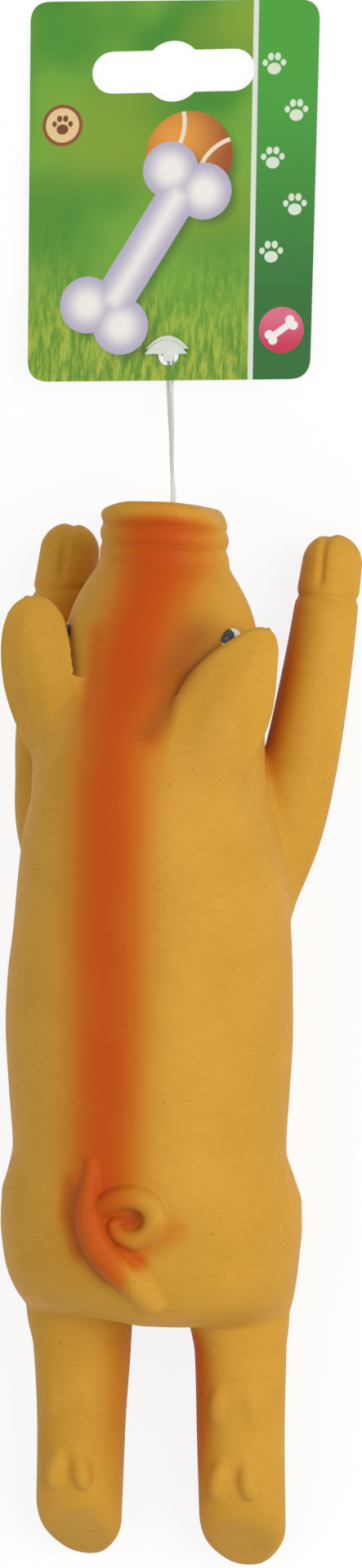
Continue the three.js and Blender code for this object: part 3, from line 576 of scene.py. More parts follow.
class Ear:
    """A leaf-shaped ear, as a bowed sheet around its middle line."""

    def __init__(self, side):
        self.side = side
        self.line = catmull(EAR_PLACES[side], EAR_STEPS)
        self.run_length = run_along(self.line)
        self.length = self.run_length[-1]
        self.run = unit(np.gradient(self.line, self.run_length, axis=0))
        root, tip = EAR_LEAN[side]
        lean = np.radians(root + (tip - root) * self.run_length / self.length)
        across = np.stack([side * np.cos(lean), 0 * lean, -np.sin(lean)], 1)
        self.across = unit(across - (across * self.run).sum(1)[:, None] * self.run)
        rise = np.cross(self.run, self.across)
        self.rise = rise * np.sign(rise[:, 2:3])
        # the outline is the joint outline of discs along the middle line
        leaf = [(self.length - at, wide) for at, wide in reversed(EAR_LEAF[side])]
        at = np.linspace(max(0, leaf[0][0]), self.length, LEAF_STEPS)
        half = np.maximum(Table(leaf)(at), LEAF_LEAST)
        slope = np.gradient(half, at)
        self.discs = np.stack([at + half * slope, 0 * at, 0 * at], 1)
        self.disc_radii = half * np.sqrt(1 + slope**2)

    def nearest(self, p):
        """Which place on the middle line is nearest."""
        near, best = np.zeros(len(p), int), np.full(len(p), np.inf)
        for i, place in enumerate(self.line):
            d = ((p - place) ** 2).sum(1)
            near[d < best] = i
            best = np.minimum(best, d)
        return near

    def field(self, p):
        """Distance to the ear, and the place along it as a share."""
        near = self.nearest(p)
        at = self.run_length[near] + ((p - self.line[near]) * self.run[near]).sum(1)
        inside = np.clip(at, 0, self.length)

        def here(values):
            return np.stack([np.interp(inside, self.run_length, values[:, i]) for i in range(3)], 1)

        off = p - here(self.line)
        u, v = (off * here(self.across)).sum(1), (off * here(self.rise)).sum(1)
        edge = chain_field(np.stack([at, u, 0 * u], 1), self.discs, self.disc_radii - EAR_EDGE)
        # the leaf is bowed over its middle and thickest there
        v = v + EAR_BOW * ((u / EAR_BOW_HALF) ** 2 - 0.35)
        thick = EAR_EDGE + EAR_PLUMP * ramp(-edge, 0, 6)
        gap = np.where(edge > 0, np.sqrt(np.maximum(edge, 0) ** 2 + v**2), np.abs(v))
        return (gap - thick) * EAR_SCALE, at / self.length


EARS = {"ear_left": Ear(-1), "ear_right": Ear(1)}

# Tail: its root strand with the tip that shows beside it, then the curl; aside, forward, lift, radius
TAIL_STRAND = [
    (6.4, -47.2, -0.8, 2.5), (3.6, -43, 0.2, 2.9), (-0.3, -39.3, 0.6, 3.0), (-2.6, -35.9, 0.7, 2.9),
    (-3.8, -32.7, 0.7, 2.7), (-4.2, -29.5, 0.5, 2.3), (-4.1, -26, 0.3, 1.7), (-3.9, -23.4, 0.0, 1.3),
    (-3.9, -20.8, -0.3, 0.8),
]
TAIL_CURL = [
    (-2.2, -29.6, 0.4, 1.8), (1.0, -27.7, 0.9, 2.1), (4.6, -26.9, 1.1, 2.2), (7.9, -28.4, 1.3, 2.2),
    (8.8, -31.2, 1.4, 2.1), (7.4, -34.0, 1.2, 2.0), (4.4, -35.0, 0.9, 1.8), (1.6, -33.8, 0.7, 1.5),
    (1.0, -32.2, 0.6, 1.1), (2.6, -31.6, 0.2, 0.8),
]
TAIL_STEPS = 6


def back_height(x, y):
    half, back = (torso_table(torso_share(y), i) for i in (0, 1))
    fall = np.sqrt(np.maximum(0, 1 - (x / (half * TORSO_HALF)) ** 2))
    return AXIS_HEIGHT + AXIS_CLIMB * y + back * TORSO_BACK * fall


def tail_chain(stations):
    """A line over the back with its radii."""
    line = catmull([(x, y, float(back_height(x, y)) + lift) for x, y, lift, _ in stations], TAIL_STEPS)
    knots = np.linspace(0, 1, len(stations))
    return line, np.interp(np.linspace(0, 1, len(line)), knots, [r for _, _, _, r in stations])


TAIL = [tail_chain(stations) for stations in (TAIL_STRAND, TAIL_CURL)]

# Socket in the belly: its bore, and the wider step for the squeaker's flange
SQUEAKER = (0, -14)
SOCKET_BORE, SOCKET_TOP, SOCKET_ROUND = 7.8, 11.6, 0.6
FLANGE_BORE, FLANGE_HEIGHT, FLANGE_HALF = 9.4, 10.4, 1.2

# How softly the forms run into each other, and how far around each its field is worked out
NECK_BLEND, SNOUT_BLEND, FORE_BLEND, CURL_BLEND, TAIL_BLEND = 5, 1.2, 2.2, 0.8, 1.3
HIP_BLEND, HAUNCH_BLEND, HAUNCH_RUN = 1.7, 5.0, (12, 22)
EAR_REACH, LIMB_REACH, TAIL_REACH, GROUND_ROUND = 18, 8, 8, 0.5
FIRST_EAR, FIRST_LIMB = 1, 3  # labels of the forms; 0 is the body


def body_field(p):
    """Torso, head and snout."""
    return soft_min(soft_min(torso_field(p), head_field(p), NECK_BLEND), snout_field(p), SNOUT_BLEND)


def eye_gap(p, side):
    """Rough distance to the painted eye, a low dome on the cheek."""
    return length(p - np.array([side * EYE[0], EYE[1], EYE[2]])) - EYE_RADIUS


def boxed(p, line, reach):
    low, high = line.min(0) - reach, line.max(0) + reach
    return np.all((p > low) & (p < high), axis=1)


def socket_field(p):
    x, y, z = p.T
    r = np.hypot(x - SQUEAKER[0], y - SQUEAKER[1])
    bore = np.maximum(r - SOCKET_BORE, z - SOCKET_TOP)
    flange = np.maximum(r - FLANGE_BORE, np.abs(z - FLANGE_HEIGHT) - FLANGE_HALF)
    return np.minimum(bore, flange)


def labelled_field(p):
    """Distance to the whole skin, with the form that each place belongs to."""
    d = body_field(p)
    labels = np.zeros(len(p), int)

    def join(inside, e, blend, label):
        labels[np.flatnonzero(inside)[e < d[inside]]] = label
        d[inside] = soft_min(d[inside], e, blend)

    for label, ear in enumerate(EARS.values(), FIRST_EAR):
        inside = boxed(p, ear.line, EAR_REACH)
        e, t = ear.field(p[inside])
        gap = EAR_GAP - EAR_SUNK * (1 - ramp(t, *EAR_FREE))
        e = soft_max(e, gap - np.minimum(d[inside], eye_gap(p[inside], ear.side)), EAR_ROUND)
        join(inside, e, EAR_ROOT_BLEND - EAR_BLEND_FALL * ramp(t, *EAR_JOIN[ear.side]), label)
    for label, (name, (side, line, radii)) in enumerate(LIMBS.items(), FIRST_LIMB):
        inside = boxed(p, line, radii.max() + LIMB_REACH)
        q = p[inside]
        if name.startswith("fore"):
            join(inside, fore_field(q, side, line, radii), FORE_BLEND, label)
        else:
            # the haunch runs on into the leg at its outer side
            blend = HIP_BLEND + HAUNCH_BLEND * ramp(side * q[:, 0], *HAUNCH_RUN)
            join(inside, hind_field(q, side, line, radii), blend, label)
    inside = boxed(p, np.vstack([line for line, _ in TAIL]), TAIL_REACH)
    strand_gap, curl_gap = (chain_field(p[inside], line, radii) for line, radii in TAIL)
    d[inside] = soft_min(d[inside], soft_min(strand_gap, curl_gap, CURL_BLEND), TAIL_BLEND)
    d = soft_max(d, -p[:, 2], GROUND_ROUND)
    return soft_max(d, -socket_field(p), SOCKET_ROUND), labels


def field(p):
    return labelled_field(p)[0]


def gradient(p, h=0.05):
    g = np.empty_like(p)
    for i in range(3):
        e = np.zeros(3)
        e[i] = h
        g[:, i] = (field(p + e) - field(p - e)) / (2 * h)
    return g


AXES = np.eye(3, dtype=int)
CELL_CORNERS = [np.array((i, j, k)) for i in (0, 1) for j in (0, 1) for k in (0, 1)]
CELL_EDGES = [(corner, corner + axis) for corner in CELL_CORNERS for axis in AXES if not corner @ axis]
QUAD_RING = ((-1, -1), (0, -1), (0, 0), (-1, 0))
SLAB = 8  # rows of the grid worked out at once


def crossings(values, cells, origin, h):
    """A vertex in each cell, in the middle of the field's crossings of its edges."""
    sums, counts = np.zeros((len(cells), 3)), np.zeros(len(cells))
    for a, b in CELL_EDGES:
        va, vb = values[tuple((cells + a).T)], values[tuple((cells + b).T)]
        cross = (va < 0) != (vb < 0)
        t = va[cross] / (va - vb)[cross]
        sums[cross] += a + t[:, None] * (b - a)
        counts[cross] += 1
    return (cells + sums / counts[:, None]) * h + origin


def surface_net(low, high, h):
    """Vertices and quads of the field's surface on a grid."""
    axes = [np.arange(a, b + h, h) for a, b in zip(low, high)]
    nx, ny, nz = (len(a) for a in axes)
    values = np.empty((nx, ny, nz), np.float32)
    for start in range(0, ny, SLAB):
        some = axes[1][start : start + SLAB]
        places = np.stack(np.meshgrid(axes[0], some, axes[2], indexing="ij"), -1)
        values[:, start : start + SLAB] = field(places.reshape(-1, 3)).reshape(nx, len(some), nz)
    inside = values < 0
    total = np.zeros((nx - 1, ny - 1, nz - 1), np.int8)
    for i, j, k in CELL_CORNERS:
        total += inside[i : nx - 1 + i, j : ny - 1 + j, k : nz - 1 + k]
    cells = np.argwhere((total > 0) & (total < 8))
    index = np.full(total.shape, -1)
    index[tuple(cells.T)] = np.arange(len(cells))
    points = crossings(values, cells, np.array([a[0] for a in axes]), h)
    quads = []
    for axis in range(3):
        one, two = (axis + 1) % 3, (axis + 2) % 3
        step = AXES[axis]
        hi = inside[step[0] :, step[1] :, step[2] :]
        lo = inside[: nx - step[0], : ny - step[1], : nz - step[2]]
        edges = np.argwhere(hi != lo)
        ok = (edges[:, one] > 0) & (edges[:, two] > 0)
        ok &= (edges[:, one] < total.shape[one]) & (edges[:, two] < total.shape[two])
        edges = edges[ok]
        flip = hi[tuple(edges.T)]
        around = [edges + a * AXES[one] + b * AXES[two] for a, b in QUAD_RING]
        ring = np.stack([index[tuple(cell.T)] for cell in around], 1)
        ring[flip] = ring[flip][:, ::-1]
        quads.append(ring)
    return points, np.concatenate(quads)


def projected(points, rounds):
    """Draws the vertices onto the field's surface."""
    for _ in range(rounds):
        g = gradient(points)
        step = field(points)[:, None] * g / ((g**2).sum(1)[:, None] + 1e-9)
        size = length(step)[:, None]
        points = points - step * np.minimum(1, 0.5 / (size + 1e-9))
    return points


def relaxed(points, quads, rounds):
    """Evens the vertices out along the surface and draws them back onto it."""
    edges = np.concatenate([quads[:, [i, (i + 1) % 4]] for i in range(4)])
    shared = np.bincount(edges.ravel(), minlength=len(points))[:, None]
    for _ in range(rounds):
        sums = [
            np.bincount(edges[:, 0], points[edges[:, 1], i], len(points))
            + np.bincount(edges[:, 1], points[edges[:, 0], i], len(points))
            for i in range(3)
        ]
        g = unit(gradient(points))
        move = (np.stack(sums, 1) / shared - points) * 0.6
        move -= (move * g).sum(1)[:, None] * g
        points = projected(points + move, 1)
    return points


GRID = 0.6
SKIN_LOW, SKIN_HIGH = (-38, -104, -0.9), (38, 106, 62)
points, quads = surface_net(SKIN_LOW, SKIN_HIGH, GRID)
points = relaxed(projected(points, 3), quads, 2)
normals = unit(gradient(points))
_, labels = labelled_field(points)

# Airbrushed colour and painted shade over the skin, as shares per vertex; lines of the brush are seen from
# above
STRIPE_MIDDLE, STRIPE_HALF, STRIPE_TAIL_RUN, STRIPE_NOSE_RUN = -0.5, 8.4, (-52, -26), (99.5, 102.5)
SNOUT_DRIFT, SNOUT_DRIFT_RUN, RUMP_DRIFT, RUMP_DRIFT_RUN = 2.4, (74, 92), 0.8, (5, 25)
CROWN_AT, CROWN_LONG, CROWN_NARROW, BACK_NARROW, BACK_NARROW_RUN = 78, 13, 0.6, 0.9, (-20, 10)
FOLDS_REAR, FOLDS_RISE, FOLDS_MIDDLE, FOLDS_HALF = 88, (26, 38), 1.5, 9.0
# line, half-width, share
EAR_PAINT = [
    ([(-8.4, 79), (-7.2, 71), (-7.0, 64)], 2.2, 0.3), ([(10.0, 78), (7.8, 68.5), (6.0, 60)], 3.0, 0.4),
]
TAIL_PAINT = [
    ([(4.6, -31.2), (2.6, -31.6)], 2.2, 0.9), ([(1.6, -36.2), (5.0, -39.0)], 2.3, 0.8),
    ([(5.5, -37.8), (12.0, -33.0)], 2.8, 0.4), ([(-8.0, -24), (-8.6, -31), (-6.6, -38)], 2.8, 0.6),
]
# painted shade along these lines: beside the right ear's root, where the brown is partly airbrush and partly
# painted shade, on that ear's inner half, in the hole of the tail's curl and along the tail strand's left
# flank
PAINTED_SHADES = [
    ([(11.5, 78.5), (9.3, 72.5)], 5.0, 0.62), ([(9.3, 72.5), (8.0, 66.5), (6.4, 60.5)], 2.2, 0.5),
    ([(17.5, 71), (16.5, 63), (15.5, 54)], 5.0, 0.16), ([(5.2, -30.4), (3.8, -31.0)], 1.5, 0.45),
    ([(-7.8, -26), (-8.0, -31), (-5.6, -38.5), (-1.5, -43.0)], 1.5, 0.35),
]
# where the paint on a leg's inner side begins around it, and its most
FORE_PAINT, HIND_PAINT = {-1: (-0.8, 0.72), 1: (-0.4, 0.66)}, {-1: (0.2, 0.35), 1: (-0.2, 0.75)}
# painted light: the right foreleg's paint thins towards its root, lightening the armpit that lies in shade
FORE_ROOT_PAINTED_LIGHT = {-1: 0, 1: 0.3}
# shares in the snout's grooves: orange airbrush, and painted shade; then the orange around the tail
FOLD_PAINT, FOLD_SHADE, TAIL_ROUND_PAINT = 0.45, 0.25, 0.8

x, y, z = points.T
top = ramp(normals[:, 2], -0.2, 0.45)


def back_stripe():
    """The stripe from the snout to the tail, wider on the crown's right."""
    middle = STRIPE_MIDDLE + SNOUT_DRIFT * ramp(y, *SNOUT_DRIFT_RUN) - RUMP_DRIFT * ramp(-y, *RUMP_DRIFT_RUN)
    crown = bell(y - CROWN_AT, CROWN_LONG)
    right = crown - BACK_NARROW * ramp(-y, *BACK_NARROW_RUN)
    half = STRIPE_HALF + np.where(x < middle, -CROWN_NARROW * crown, right)
    stripe = (0.9 + 0.1 * ramp(y, 60, 75)) * bell(x - middle, half)
    return stripe * top * ramp(y, *STRIPE_TAIL_RUN) * (1 - 0.7 * ramp(y, *STRIPE_NOSE_RUN))


# the snout's grooves, which take orange airbrush and also painted shade
def snout_folds():
    grooves = np.clip(snout_grooves(x, y) / 0.8, 0, 1) * (y > FOLDS_REAR) * ramp(z, *FOLDS_RISE)
    return grooves * top * bell(x - FOLDS_MIDDLE, FOLDS_HALF)


def beside(line, wide):
    """How near each vertex is to a line, from above."""
    flat = np.column_stack([x, y, np.zeros(len(x))])
    route = np.array([(a, b, 0) for a, b in line], float)
    return bell(chain_field(flat, route, np.zeros(len(route))), wide) * top


def fore_paint(side, turned):
    low, most = FORE_PAINT[side]
    share = most * ramp(turned, low, 1.0) * ramp(y, 44, 54)
    share *= 1.1 * (1 - np.clip((y - 62) / 42, 0, 1) ** 1.6)
    # painted light near the foreleg's root
    return share * (1 - FORE_ROOT_PAINTED_LIGHT[side] * ramp(74 - y, 0, 12))


def hind_paint(side, turned):
    low, most = HIND_PAINT[side]
    share = most * ramp(turned, low, 1.05) * ramp(-y, 50, 58)
    return share * (1 - 0.75 * ramp(-y, 68, 96))


def leg_paint(kind, side, line, radii):
    """Paint on a leg's inner side, which fades out over the jaw beside the foreleg."""
    run = np.argsort(line[:, 1])
    middle, radius = (np.interp(y, line[run, 1], v[run]) for v in (line[:, 0], radii))
    share = (fore_paint if kind == "fore" else hind_paint)(side, side * (middle - x) / radius)
    share = share * np.where(labels == 0, 1 - ramp(y, 64, 84), 1)
    return np.clip(share * (side * x > 0) * ramp(27 - z, 0, 7), 0, 1)


def tail_paint():
    """Paint close around the tail, at its left and before its root."""
    gap = np.minimum(*(chain_field(points, line, radii) for line, radii in TAIL))
    near = bell(np.maximum(gap, 0), 2.2) * (y < -16) * top
    return near * ramp(5.4 - x - 0.1 * (y + 31), 0, 5.5) * ramp(y, -50, -41)


# the airbrushed orange, the painted shade and the soles, as shares per vertex
def airbrush_and_painted_shade():
    orange, folds = back_stripe(), snout_folds()
    orange = orange + FOLD_PAINT * folds * (1 - orange)
    for line, wide, share in EAR_PAINT:
        orange = 1 - (1 - orange) * (1 - share * beside(line, wide))
    for name, (side, line, radii) in LIMBS.items():
        orange = np.maximum(orange, leg_paint(name[:4], side, line, radii))
    orange = np.maximum(orange, TAIL_ROUND_PAINT * tail_paint())
    for line, wide, share in TAIL_PAINT:
        orange = np.maximum(orange, share * beside(line, wide))
    # painted shade: darker colour in the snout's grooves, beside the right ear's root, on that ear's inner
    # half and in the tail's hollows
    painted_shade = FOLD_SHADE * folds
    for line, wide, share in PAINTED_SHADES:
        painted_shade = np.maximum(painted_shade, share * beside(line, wide))
    sole = ramp(-normals[:, 1], 0.7, 0.95) * (y < -92)
    return {"paint": orange, "painted_shade": painted_shade, "sole": sole}


paint = airbrush_and_painted_shade()

# Pieces of the skin: the body's piece on the body that carries it, and a piece for each ear and limb
BODY_NODES = [
    "torso_skin", "head_skin", "snout_skin", "tail", "ear_root_left", "ear_root_right",
    "shoulder_left", "shoulder_right", "hip_left", "hip_right",
]
# where each ear's and limb's piece is cut from the body's, and a place further out that sets the cut's
# direction
ROOTS = {
    "ear_left": ((-17.9, 67.0, 44.7), (-21.8, 76.9, 40.2)),
    "ear_right": ((17.6, 64.1, 47.1), (20.7, 73.3, 42.2)),
    "foreleg_left": ((-25.6, 56, 13.4), (-25.9, 65, 11.6)),
    "hindleg_left": ((-15.6, -57.5, 13.8), (-15.7, -66, 12.8)),
    "foreleg_right": ((24.5, 56, 13.4), (25.3, 65, 11.6)),
    "hindleg_right": ((16.2, -57.5, 13.8), (16.3, -66, 12.8)),
}
middles = points[quads].mean(1)
owner = np.zeros(len(quads), int)
for label, (start, end) in enumerate(ROOTS.values(), FIRST_EAR):
    beyond = (middles - np.array(start)) @ (np.array(end) - np.array(start)) > 0
    owner[beyond & ((labels[quads] == label).sum(1) >= 2)] = label


def latex_material():
    t = new_tree("latex_skin")
    place = t.place()
    paint_share, painted_shade, sole = (t.attribute(name) for name in ("paint", "painted_shade", "sole"))
    mottle = t.noise(place, 45, 4, 0.6)
    fine = t.noise(t.stretched(place, 0.22, 1.8, 0.6), 800, 3, 0.6)
    specks = t.noise(place, 1300, 1, 0.4)
    uneven = t.math("MULTIPLY_ADD", t.minus(mottle, 0.5), 0.3, 1.0)
    share = t.times(paint_share, uneven, clamp=True)
    skin = t.mix(t.spread(mottle), (206, 152, 48), (216, 160, 55))
    skin = t.mix(t.step(share, 0.0, 0.62), skin, (203, 114, 20))
    skin = t.mix(t.step(share, 0.38, 1.0), skin, (199, 77, 3))
    # painted shade, in brown
    skin = t.mix(painted_shade, skin, (140, 78, 22))
    skin = t.mix(t.times(sole, 0.55), skin, (186, 142, 68))
    skin = t.mix(t.step(fine, 0.42, 0.8, 0, 0.1), skin, (150, 92, 26))
    return t.shade({
        "Base Color": t.mix(t.step(specks, 0.76, 0.79, 0, 0.4), skin, (110, 62, 18)),
        "Roughness": t.spread(fine, 0.52, 0.62),
        "Specular IOR Level": 0.15,
        "IOR": 1.5,
        "Sheen Weight": 0.02,
        "Sheen Roughness": 0.5,
        "Normal": t.bump(mottle, 0.06, 0.001, Normal=t.bump(fine, 0.06, 0.0003)),
    })


latex = latex_material()


def skin_piece(name, faces):
    used, inverse = np.unique(quads[faces], return_inverse=True)
    places = (points[used] + (0, FRAME_SHIFT, 0)) * MM
    mesh = bpy.data.meshes.new(name)
    mesh.from_pydata(places.tolist(), [], inverse.reshape(-1, 4).tolist())
    mesh.validate()
    for key, values in paint.items():
        made = mesh.attributes.new(key, "FLOAT", "POINT")
        made.data.foreach_set("value", values[used].astype(np.float32))
    mesh.shade_smooth()
    mesh.normals_split_custom_set_from_vertices(normals[used].astype(np.float32))
    mesh.materials.append(latex)
    made = bpy.data.objects.new(name, mesh)
    scene.collection.objects.link(made)
    return made


skin_body = skin_piece("skin_body", owner == 0)
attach(skin_body, "toy_body")
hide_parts(*BODY_NODES)
for label, (name, (start, end)) in enumerate(ROOTS.items(), FIRST_EAR):
    piece = skin_piece(f"skin_{name}", owner == label)
    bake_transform(piece)
    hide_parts(name)

# Eyes: painted white domes with a black pupil that looks up past the snout
PUPIL, PUPIL_RADIUS, PUPIL_EDGE, PUPIL_WOBBLE = (15.7, 79.0, 38.8), 1.7, 0.3, 0.4


def eye_material(name, side):
    t = new_tree(name)
    place = t.place()
    off = t.node("ShaderNodeVectorMath", operation="DISTANCE")
    t.put(off.inputs[0], place)
    off.inputs[1].default_value = row(side * PUPIL[0], PUPIL[1], PUPIL[2])
    wobble = t.math("MULTIPLY_ADD", t.noise(place, 1500, 2), PUPIL_WOBBLE * MM, off.outputs["Value"])
    pupil = t.step(wobble, PUPIL_RADIUS * MM, (PUPIL_RADIUS + PUPIL_EDGE) * MM, 1, 0)
    return t.shade({
        "Base Color": t.mix(pupil, (226, 224, 220), (28, 27, 30)),
        "Roughness": t.spread(t.noise(place, 2200, 2), 0.3, 0.42),
        "Coat Weight": 0.2,
        "Normal": t.bump(t.noise(place, 900, 2), 0.1, 0.0002),
    })


def dress(material, *nodes):
    """Gives the solids of nodes their material."""
    for node in nodes:
        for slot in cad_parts[node].material_slots:
            slot.link = "OBJECT"
            slot.material = material


dress(eye_material("eye_paint_left", -1), "eye_left")
dress(eye_material("eye_paint_right", 1), "eye_right")


# Squeaker
def white_plastic():
    t = new_tree("squeaker_plastic")
    place = t.place()
    mottle = t.noise(place, 160, 3)
    return t.shade({
        "Base Color": t.mix(mottle, (226, 223, 212), (240, 238, 230)),
        "Roughness": t.spread(mottle, 0.36, 0.5),
        "IOR": 1.5,
        "Normal": t.bump(t.noise(place, 1400, 3), 0.12, 0.0002),
    })


def brass_material():
    t = new_tree("reed_brass")
    rolled = t.noise(t.stretched(t.place(), 6, 0.4, 1), 900, 3)
    return t.shade({
        "Base Color": t.mix(rolled, (178, 140, 66), (206, 170, 92)),
        "Metallic": 1.0,
        "Roughness": t.spread(rolled, 0.28, 0.42),
        "Normal": t.bump(rolled, 0.1, 0.0001),
    })


dress(white_plastic(), "squeaker_housing", "squeaker_cap", "reed_block", "reed_clamp")
dress(brass_material(), "reed")

# Hang card: its lie, and its print, with motifs placed in mm from the foot's middle, across and along
CARD_LIFT, CARD_LENGTH = 3.6, 74.6
CARD_PLACE = (-7.15, 128.85, CARD_LIFT)
CARD_YAW, CARD_TILT = math.radians(1.6), math.asin(CARD_LIFT / CARD_LENGTH)
DIVIDER, DIVIDER_HALF = 16.6, 0.52  # the white line beside the side panel
BALL, BALL_RADIUS, BALL_SHADOW, BALL_LIGHT = (3.5, 44.0), 8.8, (4.6, 42.6), (1.0, 47.0)
SEAMS, SEAM_RADIUS, SEAM_HALF = ((-7.0, 50.5), (14.5, 38.0)), 9.5, 0.42
BONE, BONE_SHADOW, BONE_TURN, BONE_SIZE = (-5.0, 26.0), (-3.9, 24.9), 58, 15.5
BADGE, BADGE_RADIUS, BADGE_RIM, BADGE_PAW, BADGE_PAW_SIZE = (-22.4, 50.5), 4.1, 0.7, (-22.4, 50.3), 2.4
TRACK_MIDDLE, TRACK_FOOT, TRACK_STEP, TRACK_SWAY, TRACK_PAW = 22.7, 20, 9.2, 4.6, 2.7
TRACK_CENTRE, TRACK_HALF = 43, 23
PINK_BADGE, PINK_RADIUS, PINK_BONE_TURN, PINK_BONE_SIZE = (22.7, 9.6), 4.5, 35, 2.5
INK_EDGE, SHADOW_EDGES, SHADOW_SHARE = 0.12, (-1.5, 1.2), 0.55
SHADOW_GREEN = (30, 74, 20)


class Print(Tree):
    """Flat motifs on the card, as distances in mm from (across, along) on its face."""

    def __init__(self, name):
        super().__init__(bpy.data.materials.new(name))
        level, lean = math.cos(CARD_TILT), -math.sin(CARD_TILT)
        across = Vector((math.cos(CARD_YAW), math.sin(CARD_YAW), 0))
        along = Vector((-math.sin(CARD_YAW) * level, math.cos(CARD_YAW) * level, lean))
        self.at = self.place()
        self.u, self.v = (self.plane(axis) for axis in (across, along))
        self.blur = self.noise(self.at, 45, 2, 0.4)
        self.blades = self.noise(self.stretched(self.at, 1, 0.22, 1), 900, 3, 0.7)

    def plane(self, axis):
        dot = self.node("ShaderNodeVectorMath", operation="DOT_PRODUCT")
        self.put(dot.inputs[0], self.at)
        dot.inputs[1].default_value = axis / MM
        return self.minus(dot.outputs["Value"], axis.dot(Vector(row(*CARD_PLACE))) / MM)

    def moved(self, middle, degrees=0):
        """The place as seen from a motif's middle, turned."""
        u, v = (self.minus(a, b) for a, b in zip((self.u, self.v), middle))
        c, s = math.cos(math.radians(degrees)), math.sin(math.radians(degrees))
        turned_u = self.math("MULTIPLY_ADD", u, c, self.times(v, s))
        turned_v = self.math("MULTIPLY_ADD", v, c, self.times(u, -s))
        return turned_u, turned_v

    def circle(self, u, v, x, y, radius):
        du, dv = self.minus(u, x), self.minus(v, y)
        return self.minus(self.math("SQRT", self.math("MULTIPLY_ADD", du, du, self.times(dv, dv))), radius)

    def disc(self, middle, radius):
        return self.circle(self.u, self.v, *middle, radius)

    def bar(self, u, v, half_long, half_wide):
        return self.greater(self.minus(self.size(u), half_long), self.minus(self.size(v), half_wide))

    def union(self, *shapes):
        made = shapes[0]
        for shape in shapes[1:]:
            made = self.math("MINIMUM", made, shape)
        return made

    def bone(self, u, v, size):
        ends = self.circle(self.size(u), self.size(v), size, size * 0.26, size * 0.36)
        return self.union(self.bar(u, v, size, size * 0.26), ends)

    def paw(self, u, v, size):
        beside = self.size(u)
        pad = self.circle(u, self.times(v, 1.2), 0, -size * 0.3, size * 0.5)
        inner = self.circle(beside, self.times(v, 0.8), size * 0.26, size * 0.5, size * 0.22)
        outer = self.circle(beside, self.times(v, 0.85), size * 0.68, size * 0.16, size * 0.2)
        return self.union(pad, inner, outer)

    def ink(self, below, shape, colour):
        return self.mix(self.step(shape, -INK_EDGE, INK_EDGE, 1, 0), below, colour)

    def shadow(self, below, shape):
        return self.mix(self.step(shape, *SHADOW_EDGES, SHADOW_SHARE, 0), below, SHADOW_GREEN)


def meadow(t):
    """Greens that turn yellower towards the foot, with blades of grass there."""
    patch = t.noise(t.stretched(t.at, 1, 1.4, 1), 28, 1, 0.3)
    green = t.mix(t.step(t.blur, 0.35, 0.68), (62, 140, 34), (112, 170, 48))
    green = t.mix(t.step(patch, 0.45, 0.75, 0, 0.8), green, (140, 168, 40))
    grass = t.mix(t.step(t.blades, 0.36, 0.66), (92, 146, 30), (172, 190, 62))
    foot = t.step(t.math("MULTIPLY_ADD", t.minus(t.blur, 0.5), 18, t.v), 4, 30, 1, 0)
    return t.mix(foot, green, grass)


def bone_on_ball(t, below):
    """A large bone leaning on a ball."""
    seams = t.union(*(t.minus(t.size(t.disc(place, SEAM_RADIUS)), SEAM_HALF) for place in SEAMS))
    rubber = t.mix(t.step(t.disc(BALL_LIGHT, 0), 1, 12), (236, 158, 58), (160, 78, 24))
    face = t.shadow(below, t.disc(BALL_SHADOW, BALL_RADIUS))
    face = t.ink(face, t.disc(BALL, BALL_RADIUS), t.ink(rubber, seams, (246, 232, 206)))
    bone = t.bone(*t.moved(BONE, BONE_TURN), BONE_SIZE)
    depth = t.math("ADD", bone, t.times(t.blur, 1.5))
    cream = t.mix(t.step(depth, -3.6, 0.6), (250, 246, 240), (190, 182, 206))
    face = t.shadow(face, t.bone(*t.moved(BONE_SHADOW, BONE_TURN), BONE_SIZE))
    return t.ink(face, bone, cream)


def paw_badge(t, below):
    badge = t.disc(BADGE, BADGE_RADIUS)
    face = t.ink(below, badge, (142, 78, 30))
    face = t.ink(face, t.math("ADD", badge, BADGE_RIM), (238, 206, 150))
    return t.ink(face, t.paw(*t.moved(BADGE_PAW), BADGE_PAW_SIZE), (120, 62, 24))


def side_panel(t):
    """A climbing track of paws over a pink badge with a bone."""
    panel = t.mix(t.step(t.v, 6, 66), (38, 108, 44), (72, 164, 54))
    lane = t.minus(t.v, TRACK_FOOT)
    number = t.math("FLOOR", t.math("DIVIDE", lane, TRACK_STEP))
    sway = t.times(t.minus(t.math("PINGPONG", number, 1), 0.5), TRACK_SWAY)
    paw_u = t.minus(t.minus(t.u, TRACK_MIDDLE), sway)
    paw_v = t.minus(t.math("MULTIPLY_ADD", number, -TRACK_STEP, lane), TRACK_STEP / 2)
    ends = t.minus(t.size(t.minus(t.v, TRACK_CENTRE)), TRACK_HALF)
    panel = t.ink(panel, t.greater(t.paw(paw_u, paw_v, TRACK_PAW), ends), (226, 238, 214))
    pink = t.mix(t.step(t.minus(t.v, PINK_BADGE[1]), -4, 4), (206, 48, 84), (228, 112, 140))
    panel = t.ink(panel, t.disc(PINK_BADGE, PINK_RADIUS), pink)
    bone = t.bone(*t.moved(PINK_BADGE, PINK_BONE_TURN), PINK_BONE_SIZE)
    return t.ink(panel, bone, (250, 244, 246))


def card_material():
    t = Print("printed_card")
    face = paw_badge(t, bone_on_ball(t, meadow(t)))
    face = t.ink(face, t.minus(DIVIDER, t.u), side_panel(t))
    face = t.ink(face, t.minus(t.size(t.minus(t.u, DIVIDER)), DIVIDER_HALF), (232, 236, 226))
    # the back and the cut edges are bare board
    facing = t.node("ShaderNodeSeparateXYZ")
    t.put(facing.inputs[0], t.node("ShaderNodeTexCoord").outputs["Normal"])
    board = t.mix(t.blades, (222, 224, 216), (236, 236, 230))
    return t.shade({
        "Base Color": t.mix(t.step(facing.outputs["Z"], 0.4, 0.8), board, face),
        "Roughness": t.spread(t.noise(t.at, 320, 3), 0.34, 0.44),
        "Specular IOR Level": 0.35,
        "Coat Weight": 0.15,
        "Coat Roughness": 0.2,
        "Normal": t.bump(t.noise(t.at, 260, 2), 0.05, 0.0004),
    })


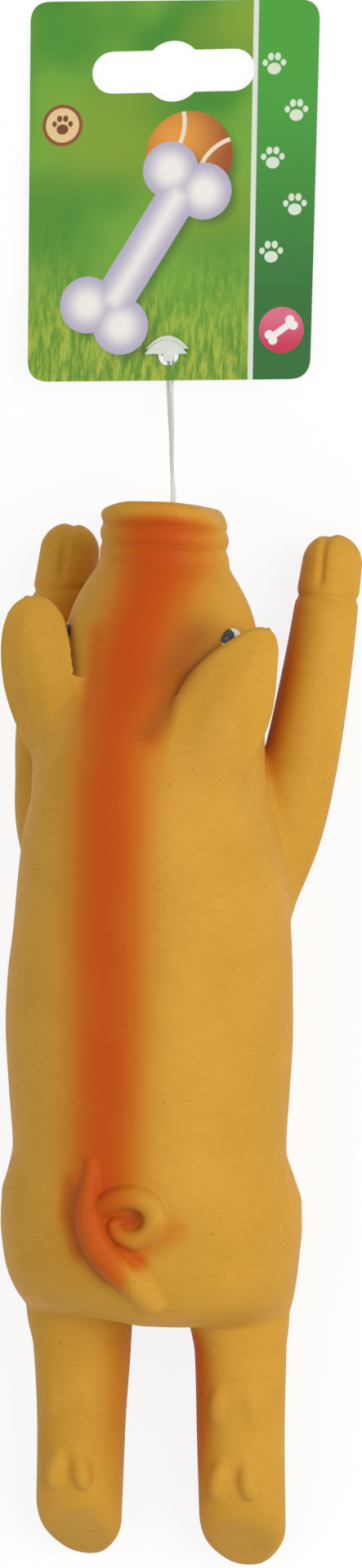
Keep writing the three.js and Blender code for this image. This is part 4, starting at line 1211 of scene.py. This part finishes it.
dress(card_material(), "hang_card")
dress(clear_plastic("toggle_plastic", (232, 238, 226), 0.78), "toggle_lower", "toggle_upper")

# Floor, backdrop and light, in metres
FLOOR_HALF, FLOOR_DROP = 3, 0.0002
FLOOR_GLOW, FLOOR_GLOW_SHARE, SKY_STRENGTH = 1.06, 0.8, 0.5
WHITE = (1, 1, 1, 1)
LIGHT_AIM = Vector((0, 0.03, 0.03))
scene.view_settings.view_transform = "Standard"


def pale_floor():
    t = new_tree("studio_floor")
    t.shade({
        "Base Color": t.mix(t.noise(t.place(), 3, 2), (236, 236, 234), (242, 242, 240)),
        "Roughness": 0.8,
    })
    glow = t.set(t.node("ShaderNodeEmission"), {"Color": WHITE, "Strength": FLOOR_GLOW})
    # the rest of what is seen is the floor itself, which keeps a faint shadow
    t.show(t.times(t.seen(), FLOOR_GLOW_SHARE), t.shader.outputs[0], glow)
    return t.owner


floor_mesh = bpy.data.meshes.new("studio_floor")
floor_corners = [(FLOOR_HALF * x, FLOOR_HALF * y, 0) for x, y in ((-1, -1), (1, -1), (1, 1), (-1, 1))]
floor_mesh.from_pydata(floor_corners, [], [(0, 1, 2, 3)])
floor_mesh.materials.append(pale_floor())
floor = bpy.data.objects.new("studio_floor", floor_mesh)
scene.collection.objects.link(floor)
floor.location.z = -FLOOR_DROP

scene.world = bpy.data.worlds.new("studio")
sky = Tree(scene.world)
sky.shade({"Color": WHITE, "Strength": SKY_STRENGTH})
shown = sky.set(sky.node("ShaderNodeBackground"), {"Color": WHITE, "Strength": 1.0})
sky.show(sky.seen(), sky.shader.outputs[0], shown)


def area(name, place, size, energy):
    data = bpy.data.lights.new(name, "AREA")
    data.shape = "SQUARE"
    data.size = size
    data.energy = energy
    light = bpy.data.objects.new(name, data)
    scene.collection.objects.link(light)
    light.location = place
    light.rotation_euler = (LIGHT_AIM - Vector(place)).to_track_quat("-Z", "Y").to_euler()


area("key", (0.95, 0.2, 0.95), 0.8, 9)
area("fill", (-0.5, -0.2, 1.2), 1.0, 1.6)
